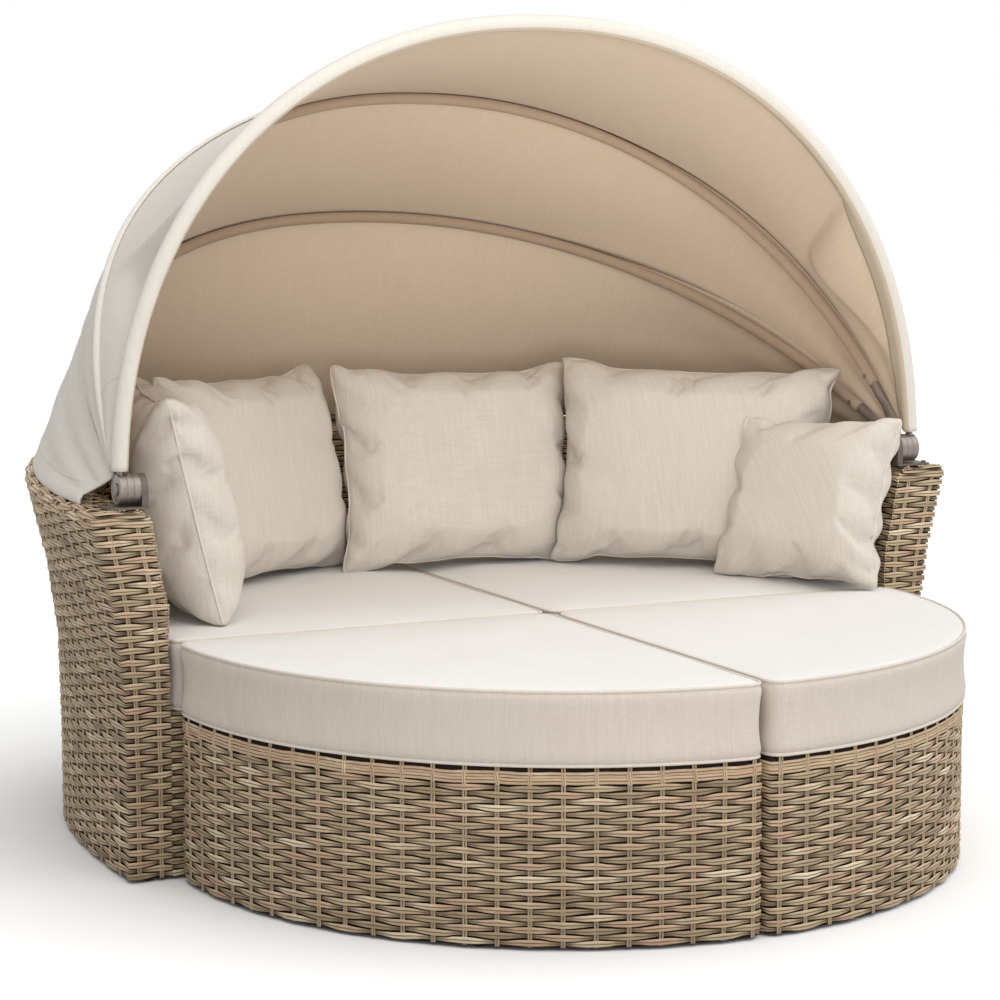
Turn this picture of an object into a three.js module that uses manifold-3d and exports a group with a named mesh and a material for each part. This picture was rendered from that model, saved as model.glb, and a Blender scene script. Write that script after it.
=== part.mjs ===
import * as THREE from "three";
import { mergeVertices } from "three/addons/utils/BufferGeometryUtils.js";
import Module from "manifold-3d";

const wasm = await Module();
wasm.setup();

// A round garden daybed: a wicker sofa with a curved backrest, two quarter-round
// wicker ottomans in front of it, box cushions, loose pillows, and a fabric
// canopy on three bows that fold back about one hinge line.
// Lengths are in millimetres, x to the right, y to the back, z up.
// y is zero at the split between the sofa and the ottomans until the last group,
// which sets the origin under the middle of the whole daybed.

// General clearances
const touchGap = 0.3;
const moduleGap = 6;
const cutOverrun = 60;

// Seat cushions
const seatHeight = 420;
const cushionThickness = 130;
const frontRadius = 712;
const splitBehindCentre = 43;
const cushionCorner = 34;
const cushionEdge = 16;
const cushionDraw = 5;
const cushionCrown = 7;
const cushionWallGap = 3;

// Wicker and its frame
const skinThickness = 7;
const floorGap = 6;
const ottomanInset = 5;
const ottomanCorner = 20;
const armWallGap = 5;
const armThickness = 79;
const armFaceBack = 8;
const backDepth = 950;
const armTopHeight = 638;
const backTopRise = 34;
const armTopFlat = 200;
const flareStart = 250;
const outerFlare = 60;
const innerFlare = 36;
const rimRound = 22;
const planPower = 3;
const frameTube = 22;
const frameGap = 2;
const frameCorner = 12;
const postSide = 19;
const crossBarWidth = 14;
const crossBarHeight = 12;
const glideDiameter = 24;
const glideHeight = 10;

// Canopy bows, from the front one to the rear one
const bowTube = 19;
const hingeBack = 41;
const knuckleFloorGap = 2;
const knuckleDiameter = 52;
const knucklePitch = 12;
const knuckleGap = 0.6;
const pinDiameter = 10;
const pinClearance = 0.6;
const pinHeadDiameter = 22;
const pinHeadThickness = 3;
const bowInset = 6;
const bowNest = 8;
const frontBowHeight = 787;
const middleBowHeight = 870;
const rearBowHeight = 965;
const middleBowTilt = 40;
const rearBowTilt = 63.5;
const frontBowPower = 2.15;
const middleBowPower = 2.15;
const rearBowPower = 2.12;
const legFlatEnd = 95;
const legRoundStart = 130;
const legFlatThickness = 9;
const legFlatWidth = 20;
const knuckleInset = 42;
const bracketPlate = 4;
const bracketLength = 58;
const bracketWidth = 70;
const bracketScrewReach = 16;
const bracketScrewSpread = 36;
const sleeveScrewAt = 170;
const screwHead = 9;
const screwHeadHeight = 3;
const screwStandoff = 1.4;

// Canopy cloth
const clothThickness = 2.5;
const clothRest = 2.8;
const hemClearance = 1.5;
const clothSideStart = 76;
const pocketDepth = 46;
const panelSeam = 1.6;
const hemTube = 16;
const hemInset = 30;
const hemStart = 150;

// Pillows
const bigPillowWidth = 520;
const bigPillowHeight = 425;
const bigPillowThickness = 180;
const smallPillowWidth = 370;
const smallPillowHeight = 350;
const smallPillowThickness = 150;
const pillowSink = 14;
const armPillowInset = 172;

const bigPillow = {
  width: bigPillowWidth,
  height: bigPillowHeight,
  thickness: bigPillowThickness,
};
const smallPillow = {
  width: smallPillowWidth,
  height: smallPillowHeight,
  thickness: smallPillowThickness,
};

// Where each pillow stands: the middle of its lower edge, as shares of the half width and the
// depth inside the backrest, and its turns in degrees. The two beside an arm keep their distance
// from it instead. An earlier one stands behind a later one.
const pillowPlaces = [
  { name: "left_back", ...bigPillow, acrossShare: -0.46, backShare: 0.614, yaw: 34, lean: 12, roll: 1 },
  { name: "right_back", ...bigPillow, acrossShare: 0.675, backShare: 0.385, yaw: -40, lean: 10, roll: 1 },
  { name: "centre", ...bigPillow, acrossShare: 0.117, backShare: 0.62, yaw: -2, lean: 14, roll: 1 },
  { name: "left_arm", ...bigPillow, armSide: -1, backShare: 0.373, yaw: 85, lean: 13, roll: 0 },
  { name: "small", ...smallPillow, armSide: 1, backShare: 0.092, yaw: -62, lean: 20, roll: -2 },
];

// Counts of steps, which carry no length
const planSteps = 36;
const archSteps = 30;
const tubeSides = 8;
const roundSides = 20;
const smallSides = 12;
const railSteps = 24;
const pillowSteps = 10;
const cornerSteps = 4;
const levelShares = [0, 0.3, 0.55, 0.78];
const roundShares = [0, 0.5, 1];
const edgeShare = 0.3;
const crownShares = [
  [0.1, 0.55],
  [0.28, 1],
];
const pillowPullShare = 0.075;
const pillowFatPower = 0.62;
const weldShare = 0.01;
const glideTaperShare = 0.8;
const postAngle = 52;
const postInwardShare = 0.25;
const uprightShares = [0, 0.16, 0.33, 0.5, 0.67, 0.84, 1];
const sofaGlideShares = [0, 0.3, 0.5, 0.7, 1];
const panelSteps = 5;
const sagShare = 0.04;
const ridgeShare = 1.5;
const hemRiseShare = 0.6;
const pocketTurnShares = [1, 0.75, 0.5, 0.25, 0];

// Heights and reaches that follow from the sizes above
const cushionBottom = seatHeight - cushionThickness;
const deckTop = cushionBottom - touchGap;
const deckBottom = deckTop - skinThickness;
const railTop = deckBottom - touchGap;
const knuckleWidth = knucklePitch - knuckleGap;
const hingeHeight = armTopHeight + touchGap + bracketPlate + knuckleDiameter / 2 + knuckleFloorGap;
const armInnerHalf = frontRadius + armWallGap;
const armOuterHalf = armInnerHalf + armThickness;
const frontBowHalf = armOuterHalf - bowInset;
const backInnerDepth = backDepth - armThickness;
const frontReach = splitBehindCentre + frontRadius;
const frameHalfTube = frameTube / 2;
const frameFront = armFaceBack + skinThickness + frameGap + frameHalfTube;
const wallMiddleHalf = armOuterHalf - armThickness / 2;
const pinBore = pinDiameter + 2 * pinClearance;
const bowRest = bowTube / 2 + clothRest + clothThickness / 2;
const hemRest = hemTube / 2 + hemClearance + clothThickness / 2;
const hemRise = hemTube / 2 + touchGap;
const hemHalf = armOuterHalf + outerFlare - hemInset;
const hemDepth = backDepth + outerFlare - hemInset;

const vec = (x, y, z) => new THREE.Vector3(x, y, z);
const degrees = THREE.MathUtils.degToRad;
const signedPower = (value, power) => Math.sign(value) * Math.abs(value) ** power;
const steps = (count) => Array.from({ length: count + 1 }, (_, i) => i / count);

// Turning three.js geometry into solids, and back

function solidFrom(geometry) {
  const bare = new THREE.BufferGeometry();
  bare.setAttribute("position", geometry.getAttribute("position").clone());
  if (geometry.index) bare.setIndex(geometry.index.clone());
  const merged = mergeVertices(bare, touchGap * weldShare);
  const triVerts = new Uint32Array(merged.index.array);
  const vertProperties = new Float32Array(merged.attributes.position.array);
  const made = () => new wasm.Manifold(new wasm.Mesh({ numProp: 3, vertProperties, triVerts }));
  if (made().volume() < 0) triVerts.reverse();
  return made();
}

function geometryFrom(solid) {
  const mesh = solid.getMesh();
  const geometry = new THREE.BufferGeometry();
  geometry.setAttribute("position", new THREE.BufferAttribute(mesh.vertProperties, mesh.numProp));
  geometry.setIndex(new THREE.BufferAttribute(mesh.triVerts, 1));
  return geometry;
}

const joined = (solids) => solids.reduce((whole, next) => whole.add(next));

// Rings of points, one above the other, closed by a cap at both ends.
function ringSolid(rings) {
  const count = rings[0].length;
  const last = (rings.length - 1) * count;
  const faces = [];
  for (let k = 0; k < rings.length - 1; k++) {
    for (let i = 0; i < count; i++) {
      const a = k * count + i;
      const b = k * count + ((i + 1) % count);
      faces.push(a, b, b + count, a, b + count, a + count);
    }
  }
  for (let i = 0; i < count / 2 - 1; i++) {
    const far = count - 1 - i;
    faces.push(i, far - 1, i + 1, i, far, far - 1);
    faces.push(last + i, last + i + 1, last + far - 1, last + i, last + far - 1, last + far);
  }
  const geometry = new THREE.BufferGeometry();
  const positions = rings.flat().flatMap((point) => point.toArray());
  geometry.setAttribute("position", new THREE.Float32BufferAttribute(positions, 3));
  geometry.setIndex(faces.filter((_, i) => !isFlat(faces, i)));
  return solidFrom(geometry);
}

// A cap of an even ring ends in a triangle with two equal corners, which is left out.
function isFlat(faces, i) {
  const start = i - (i % 3);
  const [a, b, c] = faces.slice(start, start + 3);
  return a === b || b === c || a === c;
}

// A cloth sheet: a grid of middle points, given thickness along its own normals.
function sheetSolid(grid, thickness) {
  const rows = grid.length;
  const columns = grid[0].length;
  const side = (sign) =>
    grid.map((row, i) =>
      row.map((point, j) => {
        const along = vec().subVectors(
          grid[Math.min(i + 1, rows - 1)][j],
          grid[Math.max(i - 1, 0)][j],
        );
        const crosswise = vec().subVectors(
          row[Math.min(j + 1, columns - 1)],
          row[Math.max(j - 1, 0)],
        );
        const normal = along.cross(crosswise).normalize();
        return point.clone().addScaledVector(normal, (sign * thickness) / 2);
      }),
    );
  const top = side(1);
  const bottom = side(-1);
  return ringSolid(top.map((row, i) => [...row, ...bottom[i].slice().reverse()]));
}

function tubeSolid(curve, radius, count, sides = tubeSides) {
  const section = new THREE.Shape();
  section.absarc(0, 0, radius, 0, 2 * Math.PI);
  const options = { steps: count, curveSegments: sides / 2, bevelEnabled: false, extrudePath: curve };
  return solidFrom(new THREE.ExtrudeGeometry(section, options));
}

const barSolid = (from, to, radius) => tubeSolid(new THREE.LineCurve3(from, to), radius, 1);

function boxSolid(width, depth, height, x, y, z) {
  const geometry = new THREE.BoxGeometry(width, depth, height);
  return solidFrom(geometry.translate(x, y, z));
}

// A cylinder that lies along x.
function discSolid(diameter, width, x, y, z, sides = roundSides) {
  const geometry = new THREE.CylinderGeometry(diameter / 2, diameter / 2, width, sides);
  return solidFrom(geometry.rotateZ(Math.PI / 2).translate(x, y, z));
}

// Outlines in plan

const polar = (radius, angle) =>
  new THREE.Vector2(radius * Math.cos(angle), radius * Math.sin(angle));

// The half round of the backrest, from its right front corner to its left one.
function halfPlan(halfWidth, depth, front, count = planSteps) {
  return steps(count).map((share) => {
    const angle = share * Math.PI;
    const x = halfWidth * signedPower(Math.cos(angle), 2 / planPower);
    const y = front + depth * Math.abs(Math.sin(angle)) ** (2 / planPower);
    return new THREE.Vector2(share === 0.5 ? 0 : x, share === 1 ? front : y);
  });
}

// A quarter of the round seat in front of the split, on the right side, drawn in by an inset.
function frontQuarterPlan(radius, corner, gap) {
  const centre = -splitBehindCentre;
  const inner = gap / 2;
  const side = Math.sqrt(radius ** 2 - (centre + inner) ** 2);
  const front = centre - Math.sqrt(radius ** 2 - inner ** 2);
  const turn = corner / radius;
  const sideAngle = Math.atan2(-inner - centre, side);
  const frontAngle = Math.atan2(front - centre, inner);
  const arcStart = new THREE.Vector2(0, centre).add(polar(radius, sideAngle - turn));
  const shape = new THREE.Shape();
  shape.moveTo(inner, front + corner);
  shape.lineTo(inner, -inner - corner);
  shape.quadraticCurveTo(inner, -inner, inner + corner, -inner);
  shape.lineTo(side - corner, -inner);
  shape.quadraticCurveTo(side, -inner, arcStart.x, arcStart.y);
  shape.absarc(0, centre, radius, sideAngle - turn, frontAngle + turn, true);
  shape.quadraticCurveTo(inner, front, inner, front + corner);
  return outlinePoints(shape);
}

// Half of the seat behind the split, on the right side, inside the backrest.
function rearHalfPlan(halfWidth, depth, corner, gap) {
  const inner = gap / 2;
  const back = halfPlan(halfWidth, depth, armFaceBack).slice(1, planSteps / 2);
  const shape = new THREE.Shape();
  shape.moveTo(inner, armFaceBack + depth - corner);
  shape.lineTo(inner, inner + corner);
  shape.quadraticCurveTo(inner, inner, inner + corner, inner);
  shape.lineTo(halfWidth - corner, inner);
  shape.quadraticCurveTo(halfWidth, inner, halfWidth, inner + corner);
  back
    .filter((point) => Math.min(point.x, point.y) > inner + corner)
    .forEach((point) => shape.lineTo(point.x, point.y));
  shape.quadraticCurveTo(inner, armFaceBack + depth, inner, armFaceBack + depth - corner);
  return outlinePoints(shape);
}

// The corner points of a shape, anticlockwise, without the one that closes it.
function outlinePoints(shape) {
  const points = shape
    .getPoints(cornerSteps)
    .filter((point, i, all) => i === 0 || point.distanceTo(all[i - 1]) > touchGap);
  if (points[0].distanceTo(points[points.length - 1]) < touchGap) points.pop();
  return THREE.ShapeUtils.isClockWise(points) ? points.reverse() : points;
}

// Every point of an outline moved inwards by a distance, along the mean of its two edges.
function insetOutline(points, distance) {
  return points.map((point, i) => {
    const before = points[(i + points.length - 1) % points.length];
    const after = points[(i + 1) % points.length];
    const edge = after.clone().sub(before).normalize();
    return new THREE.Vector2(point.x - edge.y * distance, point.y + edge.x * distance);
  });
}

const raise = (points, z) => points.map((point) => vec(point.x, point.y, z));

// Wicker backrest

const armTop = (y) =>
  armTopHeight +
  backTopRise * THREE.MathUtils.smoothstep(y, armFaceBack + armTopFlat, armFaceBack + backInnerDepth);

const flareAt = (z, start, amount) =>
  amount * THREE.MathUtils.clamp((z - start) / (armTopHeight - start), 0, 1) ** 2;
const outerHalfAt = (z) => armOuterHalf + flareAt(z, flareStart, outerFlare);
const innerHalfAt = (z) => armInnerHalf + flareAt(z, seatHeight, innerFlare);

// The widest level of the backrest is where its round rim begins.
const backReach = armFaceBack + backDepth + outerHalfAt(armTopHeight - rimRound) - armOuterHalf;
const depthCentre = (backReach - frontReach) / 2;

// One level of the backrest's outside, its sides grown and its front face set back.
function outerRing(z, grow, setBack, shareOfTop, drop) {
  const depth = backDepth + outerHalfAt(z) - armOuterHalf + grow - setBack;
  const plan = halfPlan(outerHalfAt(z) + grow, depth, armFaceBack + setBack);
  return plan.map((p) => vec(p.x, p.y, z + shareOfTop * (armTop(p.y) - armTopHeight) - drop));
}

// One level of the backrest's inside, carried out past its front.
function innerRing(z, grow, shareOfTop) {
  const depth = backInnerDepth + innerHalfAt(z) - armInnerHalf + grow;
  const plan = halfPlan(innerHalfAt(z) + grow, depth, armFaceBack);
  const ring = plan.map((p) => vec(p.x, p.y, z + shareOfTop * (armTop(p.y) - armTopHeight)));
  const corner = (point) => vec(point.x, armFaceBack - cutOverrun, point.z);
  return [corner(ring[0]), ...ring, corner(ring[ring.length - 1])];
}

// The whole body inside the outer face of the backrest, drawn in by an inset.
function outerBody(bottom, inset) {
  const straight = armTopHeight - rimRound;
  const rings = levelShares.map((share) => {
    const z = bottom + share * (straight - bottom);
    return outerRing(z, -inset, inset, share, 0);
  });
  roundShares.forEach((share) => {
    const turn = (share * Math.PI) / 2;
    const z = straight + rimRound * Math.sin(turn);
    const round = rimRound * (1 - Math.cos(turn));
    rings.push(outerRing(z, -inset - round, inset, 1, inset));
  });
  return ringSolid(rings);
}

// The space above the seat inside the backrest, made larger by a growth.
function seatWell(bottom, growth, headroom = cutOverrun) {
  const straight = armTopHeight - rimRound;
  const rings = levelShares.map((share) => {
    const z = bottom + share * (straight - bottom);
    return innerRing(z, growth, share);
  });
  roundShares.forEach((share) => {
    const turn = (share * Math.PI) / 2;
    const z = straight + rimRound * Math.sin(turn);
    rings.push(innerRing(z, growth + rimRound * (1 - Math.cos(turn)), 1));
  });
  rings.push(innerRing(armTopHeight + headroom, growth + rimRound, 1));
  return ringSolid(rings);
}

// A wall that is hollow inside and open below the deck, where its frame stands.
function backrestWicker() {
  const wall = outerBody(floorGap, 0).subtract(seatWell(-cutOverrun, 0));
  const inside = outerBody(-cutOverrun, skinThickness);
  const hollow = inside.subtract(seatWell(-cutOverrun, skinThickness));
  const height = deckBottom + cutOverrun;
  const underDeck = boxSolid(2 * backReach, 2 * backReach, height, 0, backReach, deckBottom - height / 2);
  return wall.subtract(hollow).subtract(inside.intersect(underDeck));
}

// Flat outlines made into plates and hollow bands

const plateSolid = (outline, bottom, top) => ringSolid([raise(outline, bottom), raise(outline, top)]);

function bandSolid(outline, hole, bottom, top) {
  const cut = plateSolid(hole, bottom - cutOverrun, top + cutOverrun);
  return plateSolid(outline, bottom, top).subtract(cut);
}

// Sofa deck, front panel and welded frame

function sofaDeck() {
  const outline = insetOutline(halfPlan(armInnerHalf, backInnerDepth, armFaceBack), touchGap);
  const front = armFaceBack + skinThickness + touchGap;
  const ahead = boxSolid(2 * armOuterHalf, cutOverrun, seatHeight, 0, front - cutOverrun / 2, deckTop);
  return plateSolid(outline, deckBottom, deckTop).subtract(ahead);
}

function sofaFrontWicker() {
  const width = 2 * (armInnerHalf - touchGap);
  const height = deckTop - floorGap;
  const middle = (deckTop + floorGap) / 2;
  return boxSolid(width, skinThickness, height, 0, armFaceBack + skinThickness / 2, middle);
}

// The middle of the backrest's wall at a height, from the right arm to the left one.
function wallMiddle(share, z) {
  const half = (outerHalfAt(z) + innerHalfAt(z)) / 2;
  const depth = backDepth - armThickness / 2 - (frameFront - armFaceBack) + half - wallMiddleHalf;
  const angle = share * Math.PI;
  const y = frameFront + depth * Math.abs(Math.sin(angle)) ** (2 / planPower);
  return vec(half * signedPower(Math.cos(angle), 2 / planPower), share === 1 ? frameFront : y, z);
}

function backRailPoint(share) {
  const point = wallMiddle(share, armTopHeight);
  point.z = armTop(point.y) - skinThickness - frameGap - frameHalfTube;
  return point;
}

function sofaFrame() {
  const railHeight = railTop - frameHalfTube;
  const footHeight = glideHeight + touchGap + frameHalfTube;
  const footRailPoint = (share) => wallMiddle(share, footHeight);
  const backRail = new THREE.CatmullRomCurve3(steps(railSteps).map(backRailPoint));
  const footRail = new THREE.CatmullRomCurve3(steps(railSteps).map(footRailPoint));
  const pieces = [
    tubeSolid(backRail, frameHalfTube, railSteps),
    tubeSolid(footRail, frameHalfTube, railSteps),
  ];
  uprightShares.forEach((share, i) => {
    const foot = wallMiddle(share, footHeight);
    const knee = wallMiddle(share, seatHeight);
    pieces.push(barSolid(foot, knee, frameHalfTube));
    pieces.push(barSolid(knee, backRailPoint(share), frameHalfTube));
    const across = wallMiddle(uprightShares[uprightShares.length - 1 - i], railHeight);
    if (across.x < 0) pieces.push(barSolid(wallMiddle(share, railHeight), across, frameHalfTube));
  });
  const backEnd = wallMiddle(0.5, railHeight);
  pieces.push(barSolid(vec(0, frameFront, railHeight), backEnd, frameHalfTube));
  pieces.push(barSolid(vec(0, frameFront, railHeight), vec(0, frameFront, footHeight), frameHalfTube));
  pieces.push(barSolid(wallMiddle(0, footHeight), wallMiddle(1, footHeight), frameHalfTube));
  return joined(pieces);
}

// A foot glide: a shallow plastic cup under a rail.
function glideSolid(x, y) {
  const radius = glideDiameter / 2;
  const profile = [
    [0, 0],
    [radius * glideTaperShare, 0],
    [radius, glideHeight / 2],
    [radius, glideHeight],
    [0, glideHeight],
  ].map(([r, z]) => new THREE.Vector2(r, z));
  const geometry = new THREE.LatheGeometry(profile, smallSides).rotateX(Math.PI / 2);
  return solidFrom(geometry.translate(x, y, 0));
}

const sofaGlides = () =>
  sofaGlideShares.map((share) => {
    const place = wallMiddle(share, 0);
    return glideSolid(place.x, place.y);
  });

// Ottomans, made on the right side and mirrored to the left one

// The plan of an ottoman, drawn in on all sides by an inset.
const ottomanPlan = (inset, corner) =>
  frontQuarterPlan(frontRadius - ottomanInset - inset, corner, moduleGap + 2 * inset);

function ottomanWicker() {
  const outline = ottomanPlan(0, ottomanCorner);
  return bandSolid(outline, insetOutline(outline, skinThickness), floorGap, deckTop);
}

function ottomanDeck() {
  const outline = insetOutline(ottomanPlan(0, ottomanCorner), skinThickness + touchGap);
  return plateSolid(outline, deckBottom, deckTop);
}

function ottomanFrame() {
  const reach = skinThickness + frameGap;
  const outline = ottomanPlan(reach, frameCorner);
  const hole = ottomanPlan(reach + frameTube, frameCorner);
  const footBottom = glideHeight + touchGap;
  const pieces = [
    bandSolid(outline, hole, railTop - frameTube, railTop),
    bandSolid(outline, hole, footBottom, footBottom + frameTube),
  ];
  ottomanPosts().forEach((post) => {
    const height = railTop - footBottom - frameTube;
    const middle = (railTop + footBottom) / 2;
    pieces.push(boxSolid(postSide, postSide, height, post.x, post.y, middle));
  });
  const railRadius = frontRadius - ottomanInset - reach - frameHalfTube;
  const barX = railRadius / 2;
  const barStart = -moduleGap / 2 - reach - frameHalfTube;
  const barEnd = -splitBehindCentre - Math.sqrt(railRadius ** 2 - barX ** 2);
  const barLength = barStart - barEnd;
  const barHeight = railTop - frameHalfTube;
  const barMiddle = barStart - barLength / 2;
  pieces.push(boxSolid(crossBarWidth, barLength, crossBarHeight, barX, barMiddle, barHeight));
  return joined(pieces);
}

// The middles of an ottoman's four posts, which also carry its glides.
function ottomanPosts() {
  const reach = skinThickness + frameGap + frameHalfTube;
  const near = moduleGap / 2 + reach;
  const arcRadius = frontRadius - ottomanInset - reach;
  const side = Math.sqrt(arcRadius ** 2 - (splitBehindCentre - near) ** 2);
  const onArc = polar(arcRadius - frameTube * postInwardShare, -degrees(postAngle));
  return [
    new THREE.Vector2(near + frameTube, -near),
    new THREE.Vector2(side - frameTube, -near),
    new THREE.Vector2(near, -splitBehindCentre - arcRadius + frameTube),
    new THREE.Vector2(onArc.x, onArc.y - splitBehindCentre),
  ];
}

// Seat cushions: a box cushion with round welted edges, drawn-in sides and a low crown

function cushionSolid(outline) {
  const bottom = cushionBottom;
  const brim = seatHeight - cushionCrown;
  const rings = [
    [cushionEdge, bottom],
    [cushionEdge * edgeShare, bottom + cushionEdge * edgeShare],
    [0, bottom + cushionEdge],
    [cushionDraw, (bottom + brim) / 2],
    [0, brim - cushionEdge],
    [cushionEdge * edgeShare, brim - cushionEdge * edgeShare],
    [cushionEdge, brim],
  ].map(([inset, z]) => raise(insetOutline(outline, inset), z));
  const rim = insetOutline(outline, cushionEdge);
  const sum = rim.reduce((total, point) => total.add(point), new THREE.Vector2());
  const centre = sum.divideScalar(rim.length);
  crownShares.forEach(([inwards, rise]) => {
    const drawn = rim.map((point) => point.clone().lerp(centre, inwards));
    rings.push(raise(drawn, brim + cushionCrown * rise));
  });
  return ringSolid(rings);
}

const frontCushion = () => cushionSolid(frontQuarterPlan(frontRadius, cushionCorner, moduleGap));

const rearCushion = () => {
  const half = armInnerHalf - cushionWallGap;
  return cushionSolid(rearHalfPlan(half, backInnerDepth - cushionWallGap, cushionCorner, moduleGap));
};

// Pillows: two crowned faces over one outline whose sides pull in between pointed corners

function pillowSolid(place, grow = 0) {
  const width = place.width + grow;
  const height = place.height + grow;
  const thickness = place.thickness + grow;
  const at = (i, j, side) => {
    const u = (2 * i) / pillowSteps - 1;
    const v = (2 * j) / pillowSteps - 1;
    const uu = Math.sin((u * Math.PI) / 2);
    const vv = Math.sin((v * Math.PI) / 2);
    const fat = ((1 - uu ** 4) * (1 - vv ** 4)) ** pillowFatPower;
    return vec(
      (width / 2) * uu * (1 - pillowPullShare * (1 - vv ** 2)),
      (side * thickness * fat) / 2,
      (height / 2) * (1 + vv * (1 - pillowPullShare * (1 - uu ** 2))),
    );
  };
  const positions = [];
  const indices = [];
  [1, -1].forEach((side) => {
    const start = positions.length / 3;
    for (let i = 0; i <= pillowSteps; i++) {
      for (let j = 0; j <= pillowSteps; j++) positions.push(...at(i, j, side).toArray());
    }
    for (let i = 0; i < pillowSteps; i++) {
      for (let j = 0; j < pillowSteps; j++) {
        const a = start + i * (pillowSteps + 1) + j;
        const b = a + pillowSteps + 1;
        if (side > 0) indices.push(a, b + 1, b, a, a + 1, b + 1);
        else indices.push(a, b, b + 1, a, b + 1, a + 1);
      }
    }
  });
  const geometry = new THREE.BufferGeometry();
  geometry.setAttribute("position", new THREE.Float32BufferAttribute(positions, 3));
  geometry.setIndex(indices);
  const turn = new THREE.Euler(-degrees(place.lean), degrees(place.roll), degrees(place.yaw), "ZXY");
  geometry.translate(0, 0, -grow / 2);
  geometry.applyMatrix4(new THREE.Matrix4().makeRotationFromEuler(turn));
  const beside = place.armSide * (armInnerHalf - armPillowInset);
  const x = place.armSide ? beside : place.acrossShare * armInnerHalf;
  const y = place.backShare * backInnerDepth;
  return solidFrom(geometry.translate(x, y, seatHeight - pillowSink));
}

// Each pillow stands on the seat, leans on the backrest, and gives way to the pillows before it.
function pillows() {
  const under = boxSolid(4 * armOuterHalf, 4 * backDepth, 2 * seatHeight, 0, 0, touchGap);
  const room = seatWell(-cutOverrun, -2 * touchGap, bigPillowHeight).subtract(under);
  return pillowPlaces.map((place, i) => {
    const grown = pillowPlaces.slice(0, i).map((other) => pillowSolid(other, 2 * touchGap));
    return grown.reduce((solid, other) => solid.subtract(other), pillowSolid(place)).intersect(room);
  });
}

// Canopy bows

// The bows nest in each other when folded: each one behind is narrower at the same reach.
const bows = {
  front: {
    half: frontBowHalf,
    height: frontBowHeight,
    power: frontBowPower,
    tilt: 0,
    place: 3,
  },
  middle: {
    half: frontBowHalf - bowNest,
    height: middleBowHeight,
    power: middleBowPower,
    tilt: middleBowTilt,
    place: 2,
  },
  rear: {
    half: frontBowHalf - 2 * bowNest,
    height: rearBowHeight,
    power: rearBowPower,
    tilt: rearBowTilt,
    place: 1,
  },
};

// A point given by its side distance, its reach from the hinge line and its offset behind the bow's plane.
function bowPlane(bow, x, reach, behind = 0) {
  const tilt = degrees(bow.tilt);
  return vec(
    x,
    hingeBack + reach * Math.sin(tilt) + behind * Math.cos(tilt),
    hingeHeight + reach * Math.cos(tilt) - behind * Math.sin(tilt),
  );
}

// Half the angle that a bow leaves out at each end, so that it starts at a given reach.
const bowStart = (bow, reach) => Math.asin((reach / bow.height) ** (bow.power / 2));

function bowPoint(bow, share, reach) {
  const start = bowStart(bow, reach);
  const angle = start + share * (Math.PI - 2 * start);
  const x = bow.half * signedPower(Math.cos(angle), 2 / bow.power);
  return bowPlane(bow, x, bow.height * Math.sin(angle) ** (2 / bow.power));
}

const knuckleAt = (place) => armOuterHalf - knuckleInset + place * knucklePitch;

// The pressed end of a bow: flat at its knuckle, round where the tube begins.
function bowLeg(bow, side) {
  const end = bowPoint(bow, 0, legRoundStart);
  const levels = [
    [pinDiameter, knuckleAt(bow.place), legFlatThickness, legFlatWidth],
    [legFlatEnd, knuckleAt(bow.place), legFlatThickness, legFlatWidth],
    [legRoundStart + touchGap, end.x, bowTube, bowTube],
  ];
  const turns = steps(tubeSides).slice(1);
  const rings = levels.map(([reach, x, thick, wide]) =>
    turns.map((share) => {
      const angle = share * 2 * Math.PI;
      const sideways = side * (x + (thick / 2) * Math.cos(angle));
      return bowPlane(bow, sideways, reach, (wide / 2) * Math.sin(angle));
    }),
  );
  return ringSolid(rings);
}

function bowSolid(bow) {
  const points = steps(archSteps).map((share) => bowPoint(bow, share, legRoundStart));
  const boreLength = 2 * (frontBowHalf + cutOverrun);
  const pieces = [tubeSolid(new THREE.CatmullRomCurve3(points), bowTube / 2, archSteps)];
  [1, -1].forEach((side) => {
    const x = side * knuckleAt(bow.place);
    pieces.push(bowLeg(bow, side));
    pieces.push(discSolid(knuckleDiameter, knuckleWidth, x, hingeBack, hingeHeight));
  });
  return joined(pieces).subtract(discSolid(pinBore, boreLength, 0, hingeBack, hingeHeight));
}

function bracketSolid(side) {
  const x = side * knuckleAt(0);
  const plateBottom = armTopHeight + touchGap;
  const innerEdge = knuckleAt(0) - knuckleWidth / 2;
  const plateMiddle = side * (innerEdge + bracketWidth / 2);
  const plateHeight = plateBottom + bracketPlate / 2;
  const webHeight = hingeHeight - plateBottom;
  return joined([
    discSolid(knuckleDiameter, knuckleWidth, x, hingeBack, hingeHeight),
    boxSolid(knuckleWidth, knuckleDiameter, webHeight, x, hingeBack, plateBottom + webHeight / 2),
    boxSolid(bracketWidth, bracketLength, bracketPlate, plateMiddle, hingeBack, plateHeight),
  ]).subtract(discSolid(pinBore, 2 * knucklePitch, x, hingeBack, hingeHeight));
}

function pinSolid(side) {
  const inner = knuckleAt(0) - knuckleWidth / 2 - touchGap;
  const outer = knuckleAt(bows.front.place) + knuckleWidth / 2 + touchGap;
  const middle = (side * (inner + outer)) / 2;
  const head = (x) => discSolid(pinHeadDiameter, pinHeadThickness, side * x, hingeBack, hingeHeight);
  return joined([
    discSolid(pinDiameter, outer - inner + pinHeadThickness, middle, hingeBack, hingeHeight),
    head(inner - pinHeadThickness / 2),
    head(outer + pinHeadThickness / 2),
  ]);
}

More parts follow.
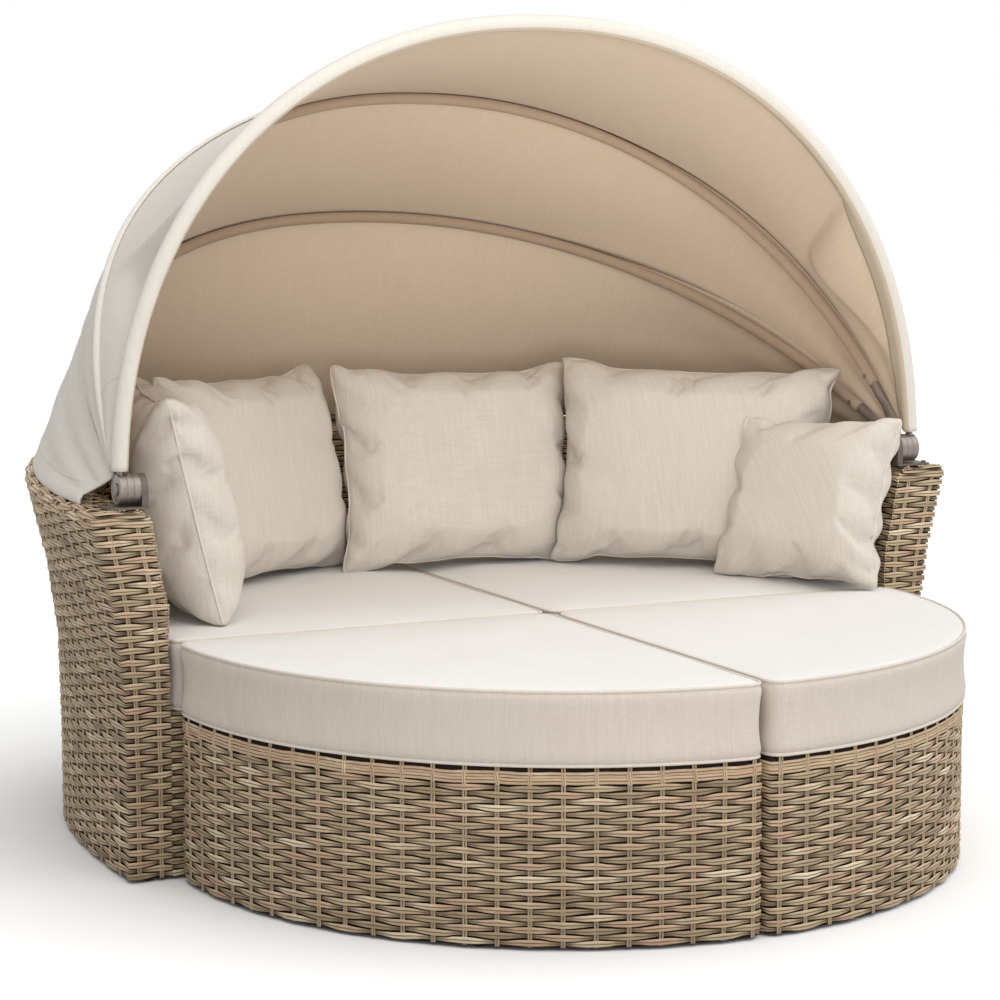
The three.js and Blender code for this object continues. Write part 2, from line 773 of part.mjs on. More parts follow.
function bracketScrews(side) {
  const z = armTopHeight + touchGap + bracketPlate + touchGap + screwHeadHeight / 2;
  const screwAt = armOuterHalf + bracketScrewReach;
  return [-1, 1].map((end) => {
    const head = new THREE.CylinderGeometry(screwHead / 2, screwHead / 2, screwHeadHeight, smallSides);
    const y = hingeBack + (end * bracketScrewSpread) / 2;
    return solidFrom(head.rotateX(Math.PI / 2).translate(side * screwAt, y, z));
  });
}

// The screw that holds a cloth sleeve to the inner side of a bow near its foot.
function sleeveScrew(bow, side) {
  const place = bowPoint(bow, 0, sleeveScrewAt);
  const x = place.x - bowTube / 2 - screwStandoff - screwHeadHeight / 2;
  return discSolid(screwHead, screwHeadHeight, side * x, place.y, place.z, smallSides);
}

// Canopy cloth: three panels, from the front bow to the hem rail on the backrest

function hemPoint(share) {
  const start = Math.asin((hemStart / hemDepth) ** (planPower / 2));
  const angle = start + share * (Math.PI - 2 * start);
  const x = hemHalf * signedPower(Math.cos(angle), 2 / planPower);
  const y = armFaceBack + hemDepth * Math.sin(angle) ** (2 / planPower);
  return vec(x, y, armTop(y) + hemRise);
}

const clothLines = {
  front: (share) => bowPoint(bows.front, share, clothSideStart),
  middle: (share) => bowPoint(bows.middle, share, clothSideStart),
  rear: (share) => bowPoint(bows.rear, share, clothSideStart),
  hem: hemPoint,
};

// The direction along a line, by a small step to both sides.
function lineDirection(line, share) {
  const small = 1 / (4 * archSteps);
  return line(Math.min(share + small, 1)).sub(line(Math.max(share - small, 0))).normalize();
}

const squareTo = (direction, along) =>
  direction.clone().addScaledVector(along, -direction.dot(along)).normalize();

const fromHinge = (point) => point.clone().sub(vec(0, hingeBack, hingeHeight)).normalize();

// Where the cloth lies on a line that it crosses, pushed out by the two lines beside it.
function ridgePoint(line, share, rest, neighbours) {
  const point = line(share);
  const away = fromHinge(point).multiplyScalar(ridgeShare);
  neighbours.forEach((other) => away.sub(other(share).sub(point).normalize()));
  return point.addScaledVector(squareTo(away, lineDirection(line, share)), rest);
}

// The outward direction of the cloth at the start of a panel: square to the panel and to its bow.
function panelNormal(line, next, share) {
  const along = lineDirection(line, share);
  return next(share).sub(line(share)).normalize().cross(along).negate().normalize();
}

// A line of cloth from one bow to the next, hanging a little inwards between its seams.
function panelSpan(from, to) {
  const gapShare = panelSeam / 2 / from.distanceTo(to);
  const sag = sagShare * from.distanceTo(to);
  const outward = fromHinge(from.clone().lerp(to, 0.5));
  return steps(panelSteps).map((step) => {
    const point = from.clone().lerp(to, gapShare + step * (1 - 2 * gapShare));
    return point.addScaledVector(outward, -4 * sag * step * (1 - step));
  });
}

// The front panel wraps round the front bow and ends in a flap inside, which makes a pocket.
function frontPanel() {
  const { front, middle, rear } = clothLines;
  return steps(archSteps).map((share) => {
    const centre = front(share);
    const normal = panelNormal(front, middle, share);
    const ahead = normal.clone().cross(lineDirection(front, share)).normalize();
    if (ahead.y > 0) ahead.negate();
    const start = centre.clone().addScaledVector(normal, bowRest);
    const end = ridgePoint(middle, share, bowRest, [front, rear]);
    const wrap = pocketTurnShares.map((turn) => {
      const point = centre.clone().addScaledVector(normal, bowRest * Math.cos(turn * Math.PI));
      return point.addScaledVector(ahead, bowRest * Math.sin(turn * Math.PI));
    });
    const flap = start.clone().lerp(end, pocketDepth / start.distanceTo(end));
    flap.addScaledVector(normal, -2 * (clothThickness + pocketDepth * sagShare));
    return [flap, ...wrap, ...panelSpan(start, end).slice(1)];
  });
}

function middlePanel() {
  const { front, middle, rear, hem } = clothLines;
  return steps(archSteps).map((share) => {
    const from = ridgePoint(middle, share, bowRest, [front, rear]);
    return panelSpan(from, ridgePoint(rear, share, bowRest, [middle, hem]));
  });
}

// The rear panel ends in a narrow hem that hangs down over the rail on the backrest.
function rearPanel() {
  const { middle, rear, hem } = clothLines;
  return steps(archSteps).map((share) => {
    const rail = hem(share);
    const outward = squareTo(vec(rail.x, rail.y - hingeBack, 0), lineDirection(hem, share));
    const upward = outward.clone().add(vec(0, 0, hemRiseShare)).normalize();
    const top = rail.clone().addScaledVector(upward, hemRest);
    const side = rail.clone().addScaledVector(outward, hemRest);
    const foot = side.clone().add(vec(0, 0, -hemTube / 2 + clothThickness / 2));
    return [...panelSpan(ridgePoint(rear, share, bowRest, [middle, hem]), top), side, foot];
  });
}

const hemRail = () =>
  tubeSolid(new THREE.CatmullRomCurve3(steps(archSteps).map(hemPoint)), hemTube / 2, archSteps);

// Finishes
const finish = (color, roughness, metalness) =>
  new THREE.MeshStandardMaterial({ color, roughness, metalness });
const wicker = () => finish(0xa89274, 0.75, 0);
const coatedSteel = () => finish(0x6f655b, 0.45, 0.6);
const hingeMetal = () => finish(0x968c85, 0.4, 0.8);
const plastic = () => finish(0x2c2a28, 0.7, 0);
const seatCloth = () => finish(0xe4dbcd, 0.9, 0);
const canopyCloth = () => finish(0xe1dcd2, 0.85, 0);

const mirrored = (solid) => solidFrom(geometryFrom(solid).scale(-1, 1, 1));

const daybed = new THREE.Group();
const parts = new THREE.Group();
parts.position.y = -depthCentre;
daybed.add(parts);

function add(name, solid, material) {
  const mesh = new THREE.Mesh(geometryFrom(solid), material);
  mesh.name = name;
  parts.add(mesh);
}

function addPair(name, solid, material) {
  add(name.replace("SIDE", "right"), solid, material());
  add(name.replace("SIDE", "left"), mirrored(solid), material());
}

add("sofa_backrest_wicker", backrestWicker(), wicker());
add("sofa_front_wicker", sofaFrontWicker(), wicker());
add("sofa_deck", sofaDeck(), wicker());
add("sofa_frame", sofaFrame(), coatedSteel());
sofaGlides().forEach((solid, i) => add(`sofa_glide_${i + 1}`, solid, plastic()));

addPair("ottoman_SIDE_wicker", ottomanWicker(), wicker);
addPair("ottoman_SIDE_deck", ottomanDeck(), wicker);
addPair("ottoman_SIDE_frame", ottomanFrame(), coatedSteel);
ottomanPosts().forEach((post, i) => {
  addPair(`ottoman_SIDE_glide_${i + 1}`, glideSolid(post.x, post.y), plastic);
});

addPair("seat_cushion_front_SIDE", frontCushion(), seatCloth);
addPair("seat_cushion_rear_SIDE", rearCushion(), seatCloth);
pillows().forEach((solid, i) => add(`pillow_${pillowPlaces[i].name}`, solid, seatCloth()));

Object.entries(bows).forEach(([name, bow]) => {
  add(`canopy_bow_${name}`, bowSolid(bow), coatedSteel());
});
addPair("hinge_bracket_SIDE", bracketSolid(1), hingeMetal);
addPair("hinge_pin_SIDE", pinSolid(1), hingeMetal);
bracketScrews(1).forEach((solid, i) => {
  addPair(`hinge_bracket_SIDE_screw_${i + 1}`, solid, hingeMetal);
});
addPair("middle_bow_screw_SIDE", sleeveScrew(bows.middle, 1), hingeMetal);
addPair("rear_bow_screw_SIDE", sleeveScrew(bows.rear, 1), hingeMetal);
add("canopy_hem_rail", hemRail(), coatedSteel());
add("canopy_cloth_front", sheetSolid(frontPanel(), clothThickness), canopyCloth());
add("canopy_cloth_middle", sheetSolid(middlePanel(), clothThickness), canopyCloth());
add("canopy_cloth_rear", sheetSolid(rearPanel(), clothThickness), canopyCloth());

export default daybed;
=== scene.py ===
# %% [markdown]
# # A garden daybed with a canopy
# The daybed is a wicker sofa with a curved backrest, two quarter-round ottomans that push up to it,
# box cushions, loose pillows and a cloth canopy on three bows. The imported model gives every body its
# place. This script lays the woven strands, the sewn cloth and the finishes over it, in metres.

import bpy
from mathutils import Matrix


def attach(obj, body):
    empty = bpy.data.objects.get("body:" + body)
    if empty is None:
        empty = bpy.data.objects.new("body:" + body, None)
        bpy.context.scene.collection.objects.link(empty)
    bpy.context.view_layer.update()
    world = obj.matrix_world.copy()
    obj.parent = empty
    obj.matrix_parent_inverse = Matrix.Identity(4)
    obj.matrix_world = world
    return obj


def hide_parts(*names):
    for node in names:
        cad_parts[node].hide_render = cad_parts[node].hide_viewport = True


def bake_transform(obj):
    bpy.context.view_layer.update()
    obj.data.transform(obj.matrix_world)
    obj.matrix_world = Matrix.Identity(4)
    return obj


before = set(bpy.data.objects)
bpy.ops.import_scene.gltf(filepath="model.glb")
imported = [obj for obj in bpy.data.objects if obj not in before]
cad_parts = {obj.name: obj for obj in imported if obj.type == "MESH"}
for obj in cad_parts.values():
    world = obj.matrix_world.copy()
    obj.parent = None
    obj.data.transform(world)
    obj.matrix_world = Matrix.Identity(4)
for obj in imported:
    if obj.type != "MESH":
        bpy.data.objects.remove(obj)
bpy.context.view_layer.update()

# %% The other libraries
import math

import bpy
import numpy as np
from mathutils import Matrix, Vector
from mathutils.bvhtree import BVHTree

scene = bpy.context.scene
print("nodes:", len(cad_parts))

# %% [markdown]
# ## Camera
# A long lens from the front left, a little above the seat, sees the daybed as a catalogue picture
# does. The camera is made first, because later pieces are judged through it.

# %% Camera
camera_place = (-2.264, -4.575, 1.223)
camera_turn = 25.93
camera_dip = 6.95
level_turn = 90
camera_lens = 101.3
camera_film = 36

camera = bpy.data.objects.new("camera", bpy.data.cameras.new("camera"))
camera.data.lens = camera_lens
camera.data.sensor_width = camera_film
camera.location = camera_place
camera.rotation_euler = (math.radians(level_turn - camera_dip), 0, -math.radians(camera_turn))
scene.collection.objects.link(camera)
scene.camera = camera
scene.view_settings.view_transform = "Standard"
print("camera at", camera_place)

# %% [markdown]
# ## Sizes
# The sizes below are those of the solid model, so that a strand or a seam lies on the part that
# carries it. They are measured from the split between the sofa and the ottomans; the last step of
# each shape moves it to the daybed's own origin, under its middle.

# %% Sizes of the seat, the backrest and the bows
seat_height = 0.420
cushion_thickness = 0.130
seat_radius = 0.712
split_behind_centre = 0.043
module_gap = 0.006
floor_gap = 0.006
touch_gap = 0.0003
arm_wall_gap = 0.005
arm_thickness = 0.079
arm_face_back = 0.008
back_depth = 0.950
arm_top_height = 0.638
back_top_rise = 0.034
arm_top_flat = 0.200
flare_start = 0.250
outer_flare = 0.060
inner_flare = 0.036
rim_round = 0.022
ottoman_inset = 0.005
ottoman_corner = 0.020
well_start = -0.060
plan_power = 3
level_shares = (0, 0.3, 0.55, 0.78, 1)

arm_inner_half = seat_radius + arm_wall_gap
arm_outer_half = arm_inner_half + arm_thickness
inner_depth = back_depth - arm_thickness
wall_straight = arm_top_height - rim_round
deck_top = seat_height - cushion_thickness - touch_gap
hinge_back = 0.041
hinge_height = 0.6703

print("arms", round(2 * arm_outer_half, 3), "m apart outside")

# %% Shapes in plan
def signed_power(value, power):
    return np.sign(value) * np.abs(value) ** power


def flare_at(height, start, amount):
    share = np.clip((height - start) / (arm_top_height - start), 0, 1)
    return amount * share**2


def arm_top(y):
    share = np.clip((y - arm_face_back - arm_top_flat) / (inner_depth - arm_top_flat), 0, 1)
    return arm_top_height + back_top_rise * share**2 * (3 - 2 * share)


def wall_flare(height, bottom, start, amount):
    """The flare of a wall at a height, straight between the solid model's levels."""
    levels = bottom + np.array(level_shares) * (wall_straight - bottom)
    levels = np.append(levels, arm_top_height)
    return np.interp(height, levels, flare_at(levels, start, amount))


def outer_grow(height):
    return wall_flare(height, floor_gap, flare_start, outer_flare)


def inner_grow(height):
    return wall_flare(height, well_start, seat_height, inner_flare)


def half_plan(half, depth, count, front=arm_face_back):
    """The half round of the backrest, from its right front corner to its left one."""
    angle = np.linspace(0, math.pi, count + 1)
    x = half * signed_power(np.cos(angle), 2 / plan_power)
    y = front + depth * np.abs(np.sin(angle)) ** (2 / plan_power)
    return np.stack([x, y], axis=1)


back_reach = arm_face_back + back_depth + flare_at(wall_straight, flare_start, outer_flare)
depth_centre = (back_reach - split_behind_centre - seat_radius) / 2
print("split lies", round(depth_centre, 4), "m in front of the middle")

# %% [markdown]
# ## Small tools
# Most pieces are grids of points. These helpers space points evenly along a line, sweep a tube, give
# a sheet its thickness and turn the result into an object whose place is in its mesh.

# %% Lines and shells
def lengths_along(points):
    steps = np.linalg.norm(np.diff(points, axis=0), axis=1)
    return np.concatenate([[0], np.cumsum(steps)])


def even(points, count):
    """The same line with its points evenly spaced."""
    along = lengths_along(points)
    wanted = np.linspace(0, along[-1], count + 1)
    return np.stack([np.interp(wanted, along, axis) for axis in points.T], axis=1)


def unit(vectors):
    return vectors / np.maximum(np.linalg.norm(vectors, axis=-1, keepdims=True), 1e-12)


print("lines ready")

# %% Shells
class Shell:
    """Points and faces that grow into one mesh, with a finish number for each face."""

    def __init__(self):
        self.points = []
        self.faces = []
        self.finishes = []
        self.count = 0

    def add(self, points, faces, finish=0):
        start = self.count
        self.points.append(np.asarray(points, float))
        self.count += len(points)
        return self.cover(start, faces, finish)

    def cover(self, start, faces, finish=0):
        """Faces on points that are already there, their corners counted from a start."""
        self.faces += [[corner + start for corner in face] for face in faces]
        self.finishes += [finish] * len(faces)
        return self

    def object(self, name, materials):
        points = np.concatenate(self.points)
        points[:, 1] -= depth_centre
        mesh = bpy.data.meshes.new(name)
        mesh.from_pydata(points.tolist(), [], self.faces)
        for material in materials:
            mesh.materials.append(material)
        mesh.polygons.foreach_set("material_index", self.finishes)
        mesh.shade_smooth()
        made = bpy.data.objects.new(name, mesh)
        scene.collection.objects.link(made)
        return made


def grid_faces(rows, columns, closed=False):
    """Faces between the rows of a grid, the last column joined to the first when it is closed."""
    faces = []
    for start in range(0, (rows - 1) * columns, columns):
        after = start + columns
        for j in range(columns if closed else columns - 1):
            k = (j + 1) % columns
            faces.append([start + j, start + k, after + k, after + j])
    return faces


def capped_faces(rings, sides):
    """Faces round a stack of rings, with a face over each end."""
    first = list(range(sides))
    last = [(rings - 1) * sides + j for j in first]
    return grid_faces(rings, sides, closed=True) + [first[::-1], last]


def tube(path, radius, sides=12, closed=False):
    """Points and faces of a round tube along a line, with closed ends."""
    path = np.asarray(path, float)
    count = len(path)
    ahead = np.roll(path, -1, axis=0) - np.roll(path, 1, axis=0)
    if not closed:
        ahead[0] = path[1] - path[0]
        ahead[-1] = path[-1] - path[-2]
    ahead = unit(ahead)
    side = np.cross(ahead[0], (0, 0, 1) if abs(ahead[0][2]) < 0.9 else (1, 0, 0))
    frames = []
    for direction in ahead:
        side = unit(side - direction * np.dot(side, direction))
        frames.append((side, np.cross(direction, side)))
    radii = np.broadcast_to(radius, (count,))
    turns = np.linspace(0, 2 * math.pi, sides, endpoint=False)
    points = [
        path[i] + radii[i] * (math.cos(turn) * first + math.sin(turn) * second)
        for i, (first, second) in enumerate(frames)
        for turn in turns
    ]
    if not closed:
        return np.array(points), capped_faces(count, sides)
    last = (count - 1) * sides
    faces = grid_faces(count, sides, closed=True)
    faces += [[last + j, last + (j + 1) % sides, (j + 1) % sides, j] for j in range(sides)]
    return np.array(points), faces


def sheet_shell(shell, grid, thickness, outside=0, inside=1):
    """A closed sheet on a grid of middle points; its outside looks along rows x columns."""
    rows, columns = grid.shape[:2]
    normal = unit(np.cross(np.gradient(grid, axis=0), np.gradient(grid, axis=1)))
    top = (grid + normal * thickness / 2).reshape(-1, 3)
    bottom = (grid - normal * thickness / 2).reshape(-1, 3)
    count = rows * columns
    quads = grid_faces(rows, columns)
    upper = [[a, d, c, b] for a, b, c, d in quads]
    lower = [[count + corner for corner in quad] for quad in quads]
    edge = list(range(columns))
    edge += [i * columns + columns - 1 for i in range(1, rows)]
    edge += [(rows - 1) * columns + j for j in range(columns - 2, -1, -1)]
    edge += [i * columns for i in range(rows - 2, 0, -1)]
    rim = [[a, b, b + count, a + count] for a, b in zip(edge, edge[1:] + edge[:1])]
    start = shell.count
    shell.add(np.concatenate([top, bottom]), upper, outside)
    shell.cover(start, lower, inside)
    return shell.cover(start, rim, outside)


print("tools ready")

# %% [markdown]
# ## Finishes
# Each material is a small graph of nodes. A wrapped socket lets the maths be written as Python, one
# method makes every other node, and colours are mixed with Mix nodes. What is the same all over a
# surface is set on the shader itself.

# %% Sockets that can be calculated with
class Value:
    """An output socket that Python's operators work on."""

    def __init__(self, graph, socket):
        self.graph = graph
        self.socket = socket

    def math(self, operation, *values):
        return self.graph.node("ShaderNodeMath", {"operation": operation}, dict(enumerate(values)))

    def __add__(self, other):
        return self.math("ADD", self, other)

    def __radd__(self, other):
        return self.math("ADD", other, self)

    def __sub__(self, other):
        return self.math("SUBTRACT", self, other)

    def __rsub__(self, other):
        return self.math("SUBTRACT", other, self)

    def __mul__(self, other):
        return self.math("MULTIPLY", self, other)

    def __rmul__(self, other):
        return self.math("MULTIPLY", other, self)

    def __truediv__(self, other):
        return self.math("DIVIDE", self, other)

    def __rtruediv__(self, other):
        return self.math("DIVIDE", other, self)

    def __abs__(self):
        return self.math("ABSOLUTE", self)

    def __pow__(self, other):
        return self.math("POWER", self, other)

    def __neg__(self):
        return self.math("MULTIPLY", self, -1.0)

    def sine(self):
        return self.math("SINE", self)


class Graph:
    """A node tree with one method that makes any node."""

    def __init__(self, tree):
        self.tree = tree

    def node(self, kind, settings=None, inputs=None, out=None):
        made = self.tree.nodes.new(kind)
        for name, value in (settings or {}).items():
            if name == "stops":
                self.set_stops(made.color_ramp, value)
            else:
                setattr(made, name, value)
        for name, value in (inputs or {}).items():
            self.feed(self.pick(made.inputs, name), value)
        if not made.outputs:
            return made
        return Value(self, self.pick(made.outputs, 0 if out is None else out))

    def pick(self, sockets, name):
        shown = [socket for socket in sockets if socket.enabled]
        if isinstance(name, int):
            return shown[name]
        return next(socket for socket in shown if socket.name == name)

    def feed(self, socket, value):
        if isinstance(value, Value):
            self.tree.links.new(value.socket, socket)
        elif value is not None:
            socket.default_value = value

    def set_stops(self, ramp, stops):
        while len(ramp.elements) < len(stops):
            ramp.elements.new(0.5)
        for element, (place, colour) in zip(ramp.elements, stops):
            element.position = place
            element.color = colour

    def mix(self, factor, first, second, blend="MIX"):
        settings = {"data_type": "RGBA", "blend_type": blend}
        return self.node("ShaderNodeMix", settings, {"Factor": factor, "A": first, "B": second})

    def split(self, vector):
        parts = self.node("ShaderNodeSeparateXYZ", None, {"Vector": vector})
        return [Value(self, socket) for socket in parts.socket.node.outputs]

    def vector(self, operation, inputs):
        return self.node("ShaderNodeVectorMath", {"operation": operation}, inputs)

    def stretch(self, place, scale):
        inputs = {"Vector": place, "Scale": scale}
        return self.node("ShaderNodeMapping", None, inputs)

    def noise(self, place, scale, detail=3.0, roughness=0.5):
        inputs = {"Vector": place, "Scale": scale, "Detail": detail, "Roughness": roughness}
        return self.node("ShaderNodeTexNoise", None, inputs)

    def bump(self, height, distance, strength=1.0, under=None):
        inputs = {"Height": height, "Distance": distance, "Strength": strength}
        if under is not None:
            inputs["Normal"] = under
        return self.node("ShaderNodeBump", None, inputs)


print("graphs ready")

# %% Materials
class Finish(Graph):
    """A material whose shader is a single Principled BSDF."""

    def __init__(self, name, **steady):
        self.material = bpy.data.materials.new(name)
        self.material.use_nodes = True
        super().__init__(self.material.node_tree)
        self.tree.nodes.clear()
        self.shader = self.tree.nodes.new("ShaderNodeBsdfPrincipled")
        output = self.tree.nodes.new("ShaderNodeOutputMaterial")
        self.tree.links.new(self.shader.outputs[0], output.inputs["Surface"])
        for words, value in steady.items():
            self.shader.inputs[words.replace("_", " ")].default_value = value
        self.place = self.node("ShaderNodeTexCoord", None, None, "Object")

    def attribute(self, name):
        settings = {"attribute_name": name, "attribute_type": "GEOMETRY"}
        return self.node("ShaderNodeAttribute", settings, None, "Fac")

    def surface(self, **varying):
        for words, value in varying.items():
            self.feed(self.shader.inputs[words.replace("_", " ")], value)
        return self.material


def colour(red, green, blue):
    """A colour as it looks on a screen, from 0 to 255, in the light's own scale."""
    shares = np.array([red, green, blue]) / 255
    linear = np.where(shares <= 0.04045, shares / 12.92, ((shares + 0.055) / 1.055) ** 2.4)
    return (*linear.tolist(), 1.0)


print("finishes can be written")

# %% [markdown]
# ## The finishes of cloth
# The covers are woven outdoor cloth. Threads run both ways at a pitch of a millimetre or two, so the
# bump is the product of two sine waves, taken in the plane that the surface mostly faces. Slubs, the
# thicker stretches of a thread, and a faint cloud of dust break up the colour.

# %% Cloth
cloud_depth = 0.004


def woven_height(finish, pitch):
    """Height of a plain weave, in the plane that the surface mostly faces."""
    turn = 2 * math.pi / pitch
    x, y, z = finish.split(finish.place)
    facing = finish.node("ShaderNodeTexCoord", None, None, "Normal")
    across, back, up = finish.split(facing)
    waves = [(x * turn).sine(), (y * turn).sine(), (z * turn).sine()]
    flat = waves[0] * waves[1] * up * up
    side = waves[1] * waves[2] * across * across
    face = waves[0] * waves[2] * back * back
    return (flat + side + face) * 0.5 + 0.5


def slubs(finish, fine=420.0, long=14.0):
    """Thicker stretches of thread, which run both ways."""
    lengthways = finish.noise(finish.stretch(finish.place, (long, fine, fine)), 1.0, 2.0)
    upright = finish.noise(finish.stretch(finish.place, (fine, long, long)), 1.0, 2.0)
    return lengthways * 0.5 + upright * 0.5


def cover_cloth(name, light, shade, pitch, weave_depth):
    finish = Finish(name, Sheen_Weight=0.15, Sheen_Roughness=0.6, Specular_IOR_Level=0.25)
    cloud = finish.noise(finish.place, 5.0, 5.0, 0.6)
    threads = slubs(finish)
    tone = finish.mix(cloud * 0.4 + threads * 1.7 - 0.55, shade, light)
    weave = woven_height(finish, pitch)
    dented = finish.bump(cloud, cloud_depth, 0.25)
    return finish.surface(
        Base_Color=tone,
        Roughness=0.82 + 0.12 * threads,
        Normal=finish.bump(weave * 0.7 + threads * 0.6, weave_depth, 0.6, dented),
    )


# Each cloth's lighter and darker tones, which slubs and a faint cloud mix, the pitch of its threads and
# the depth of its weave.
cloth_looks = {
    "seat_cloth": ((237, 235, 232), (226, 223, 218), 0.0017, 0.0004),
    "pillow_cloth": ((224, 216, 205), (201, 191, 179), 0.0015, 0.0005),
    # The cushions' side band: a beiger cloth, also painted darker than the top as shade.
    "side_cloth": ((219, 208, 197), (199, 187, 175), 0.0017, 0.0004),
    "piping_cloth": ((226, 217, 206), (209, 199, 187), 0.0012, 0.0003),
    "canopy_outside": ((228, 222, 212), (214, 207, 196), 0.0014, 0.0003),
    "canopy_inside": ((227, 208, 185), (214, 193, 167), 0.0014, 0.0003),
    # The sleeves are the lining's cloth, painted darker as the shade under the canopy.
    "sleeve_cloth": ((184, 160, 137), (170, 147, 125), 0.0014, 0.0003),
    "band_cloth": ((208, 194, 172), (196, 180, 157), 0.0012, 0.0003),
    # The middle tape is lighter than the canopy: a painted highlight along the ridge over the bow.
    "tape_cloth": ((238, 233, 224), (228, 222, 212), 0.0012, 0.0003),
    "thread_cloth": ((228, 223, 214), (214, 208, 198), 0.0010, 0.0001),
}
cloths = {
    name: cover_cloth(name, colour(*light), colour(*shade), pitch, depth)
    for name, (light, shade, pitch, depth) in cloth_looks.items()
}
seat_cloth, pillow_cloth = cloths["seat_cloth"], cloths["pillow_cloth"]
side_cloth, piping_cloth = cloths["side_cloth"], cloths["piping_cloth"]
canopy_outside, canopy_inside = cloths["canopy_outside"], cloths["canopy_inside"]
sleeve_cloth, band_cloth = cloths["sleeve_cloth"], cloths["band_cloth"]
tape_cloth, thread_cloth = cloths["tape_cloth"], cloths["thread_cloth"]
print("cloth finishes:", seat_cloth.name, pillow_cloth.name, canopy_outside.name)

# %% [markdown]
# ## The finishes of wicker, metal and plastic
# A strand of synthetic wicker is half round, with fine grooves along it and a tone of its own: most
# are taupe, some are straw and a few are reddish. Where a strand dives behind a stake, and down the
# groove between its two halves, its colour is darkened as painted shade.
# The tubes and hinges are powder coated, which gives a fine orange peel.

# %% Wicker
groove_depth = 0.0006
backing_row_pitch = 0.0098
backing_relief = 0.001
strap_pitch = 0.05
strap_relief = 0.002


def strand_finish():
    finish = Finish("wicker_strand", Specular_IOR_Level=0.35)
    tint = finish.attribute("tint")
    dive = finish.attribute("swing")
    lobe = finish.attribute("lobe")
    along = finish.noise(finish.place, 26.0, 4.0, 0.6)
    grooves = finish.noise(finish.stretch(finish.place, (40.0, 40.0, 1500.0)), 1.0, 3.0, 0.6)
    tone = finish.node(
        "ShaderNodeValToRGB",
        {
            "stops": [
                (0.0, colour(104, 84, 63)),
                (0.28, colour(158, 137, 108)),
                (0.52, colour(207, 186, 152)),
                (0.64, colour(197, 165, 137)),
                (0.74, colour(230, 211, 178)),
                (1.0, colour(247, 233, 206)),
            ]
        },
        {"Fac": tint * 0.6 + along * 0.34 + grooves * 0.12},
    )
    # Painted shade: the colour goes towards near black where the strand dives behind a stake.
    dive_shade = (0.5 - 0.5 * dive) ** 3.0
    # Painted shade: a dark line down the groove between the strand's two halves.
    groove_shade = (lobe * 3.2).math("MINIMUM", lobe * 3.2, 1.0)
    shaded = finish.mix(dive_shade * 0.9, tone, colour(52, 39, 26))
    split = finish.mix(groove_shade, colour(70, 54, 37), shaded)
    return finish.surface(
        Base_Color=split,
        Roughness=0.5 + 0.25 * grooves,
        Normal=finish.bump(grooves, groove_depth, 0.5),
    )


def weave_shade_finish():
    # The sheet is painted near black: it stands for the shade inside the wall, seen between the
    # strands.
    finish = Finish("wicker_backing", Specular_IOR_Level=0.2)
    x, y, z = finish.split(finish.place)
    rows = (z * (2 * math.pi / backing_row_pitch)).sine()
    speckle = finish.noise(finish.place, 60.0, 3.0)
    tone = finish.mix(speckle * 0.6 + rows * 0.2 + 0.1, colour(24, 18, 12), colour(56, 43, 30))
    return finish.surface(
        Base_Color=tone,
        Roughness=0.75 + 0.15 * speckle,
        Normal=finish.bump(rows * 0.5 + speckle * 0.5, backing_relief, 0.6),
    )


def deck_finish():
    finish = Finish("deck_weave", Specular_IOR_Level=0.3)
    x, y, z = finish.split(finish.place)
    strap = 2 * math.pi / strap_pitch
    weave = (x * strap).sine() * (y * strap).sine()
    ridges = finish.noise(finish.stretch(finish.place, (300.0, 300.0, 300.0)), 1.0, 2.0)
    tone = finish.mix(weave * 0.3 + ridges * 0.3 + 0.3, colour(70, 55, 40), colour(140, 118, 92))
    return finish.surface(
        Base_Color=tone,
        Roughness=0.6 + 0.2 * ridges,
        Normal=finish.bump(weave + ridges * 0.2, strap_relief, 0.6),
    )


wicker_strand = strand_finish()
wicker_backing = weave_shade_finish()
deck_weave = deck_finish()
print("wicker finishes:", wicker_strand.name, wicker_backing.name, deck_weave.name)

# %% Metal and plastic
peel_depth = 0.0002


def coated_metal(name, light, shade, rough, metallic):
    steady = dict(Metallic=metallic, Specular_IOR_Level=0.5, Coat_Weight=0.08, Coat_Roughness=0.3)
    finish = Finish(name, **steady)
    peel = finish.noise(finish.place, 900.0, 2.0)
    dust = finish.noise(finish.place, 14.0, 5.0, 0.65)
    scuffs = finish.noise(finish.stretch(finish.place, (30.0, 700.0, 700.0)), 1.0, 3.0, 0.6)
    tone = finish.mix(dust * 0.7 + scuffs * 0.3, shade, light)
    return finish.surface(
        Base_Color=tone,
        Roughness=rough + 0.12 * dust + 0.06 * scuffs,
        Normal=finish.bump(peel, peel_depth, 0.3),
    )


hinge_metal = coated_metal("hinge_metal", colour(152, 142, 135), colour(128, 119, 112), 0.34, 0.75)
bow_metal = coated_metal("bow_metal", colour(150, 139, 129), colour(128, 118, 109), 0.42, 0.5)
# The frames' own dark coat; on the hinge brackets it is also painted shade.
frame_metal = coated_metal("frame_metal", colour(112, 101, 91), colour(90, 80, 72), 0.45, 0.4)
screw_metal = coated_metal("screw_metal", colour(196, 190, 184), colour(160, 154, 148), 0.25, 0.95)


glide_grain_depth = 0.0004


def glide_finish():
    finish = Finish("glide_plastic", Specular_IOR_Level=0.4)
    grain = finish.noise(finish.place, 260.0, 4.0)
    tone = finish.mix(grain, colour(34, 32, 30), colour(58, 55, 52))
    return finish.surface(
        Base_Color=tone,
        Roughness=0.55 + 0.25 * grain,
        Normal=finish.bump(grain, glide_grain_depth, 0.4),
    )


glide_plastic = glide_finish()
print("hard finishes:", wicker_strand.name, hinge_metal.name, glide_plastic.name)

# %% [markdown]
# ## Finishes on the solid model's own parts
# Parts whose solid is already right keep it and only take a finish: the welded frames, the decks,
# the glides, the hinges and the screws. The other solids give way to shapes made further down.

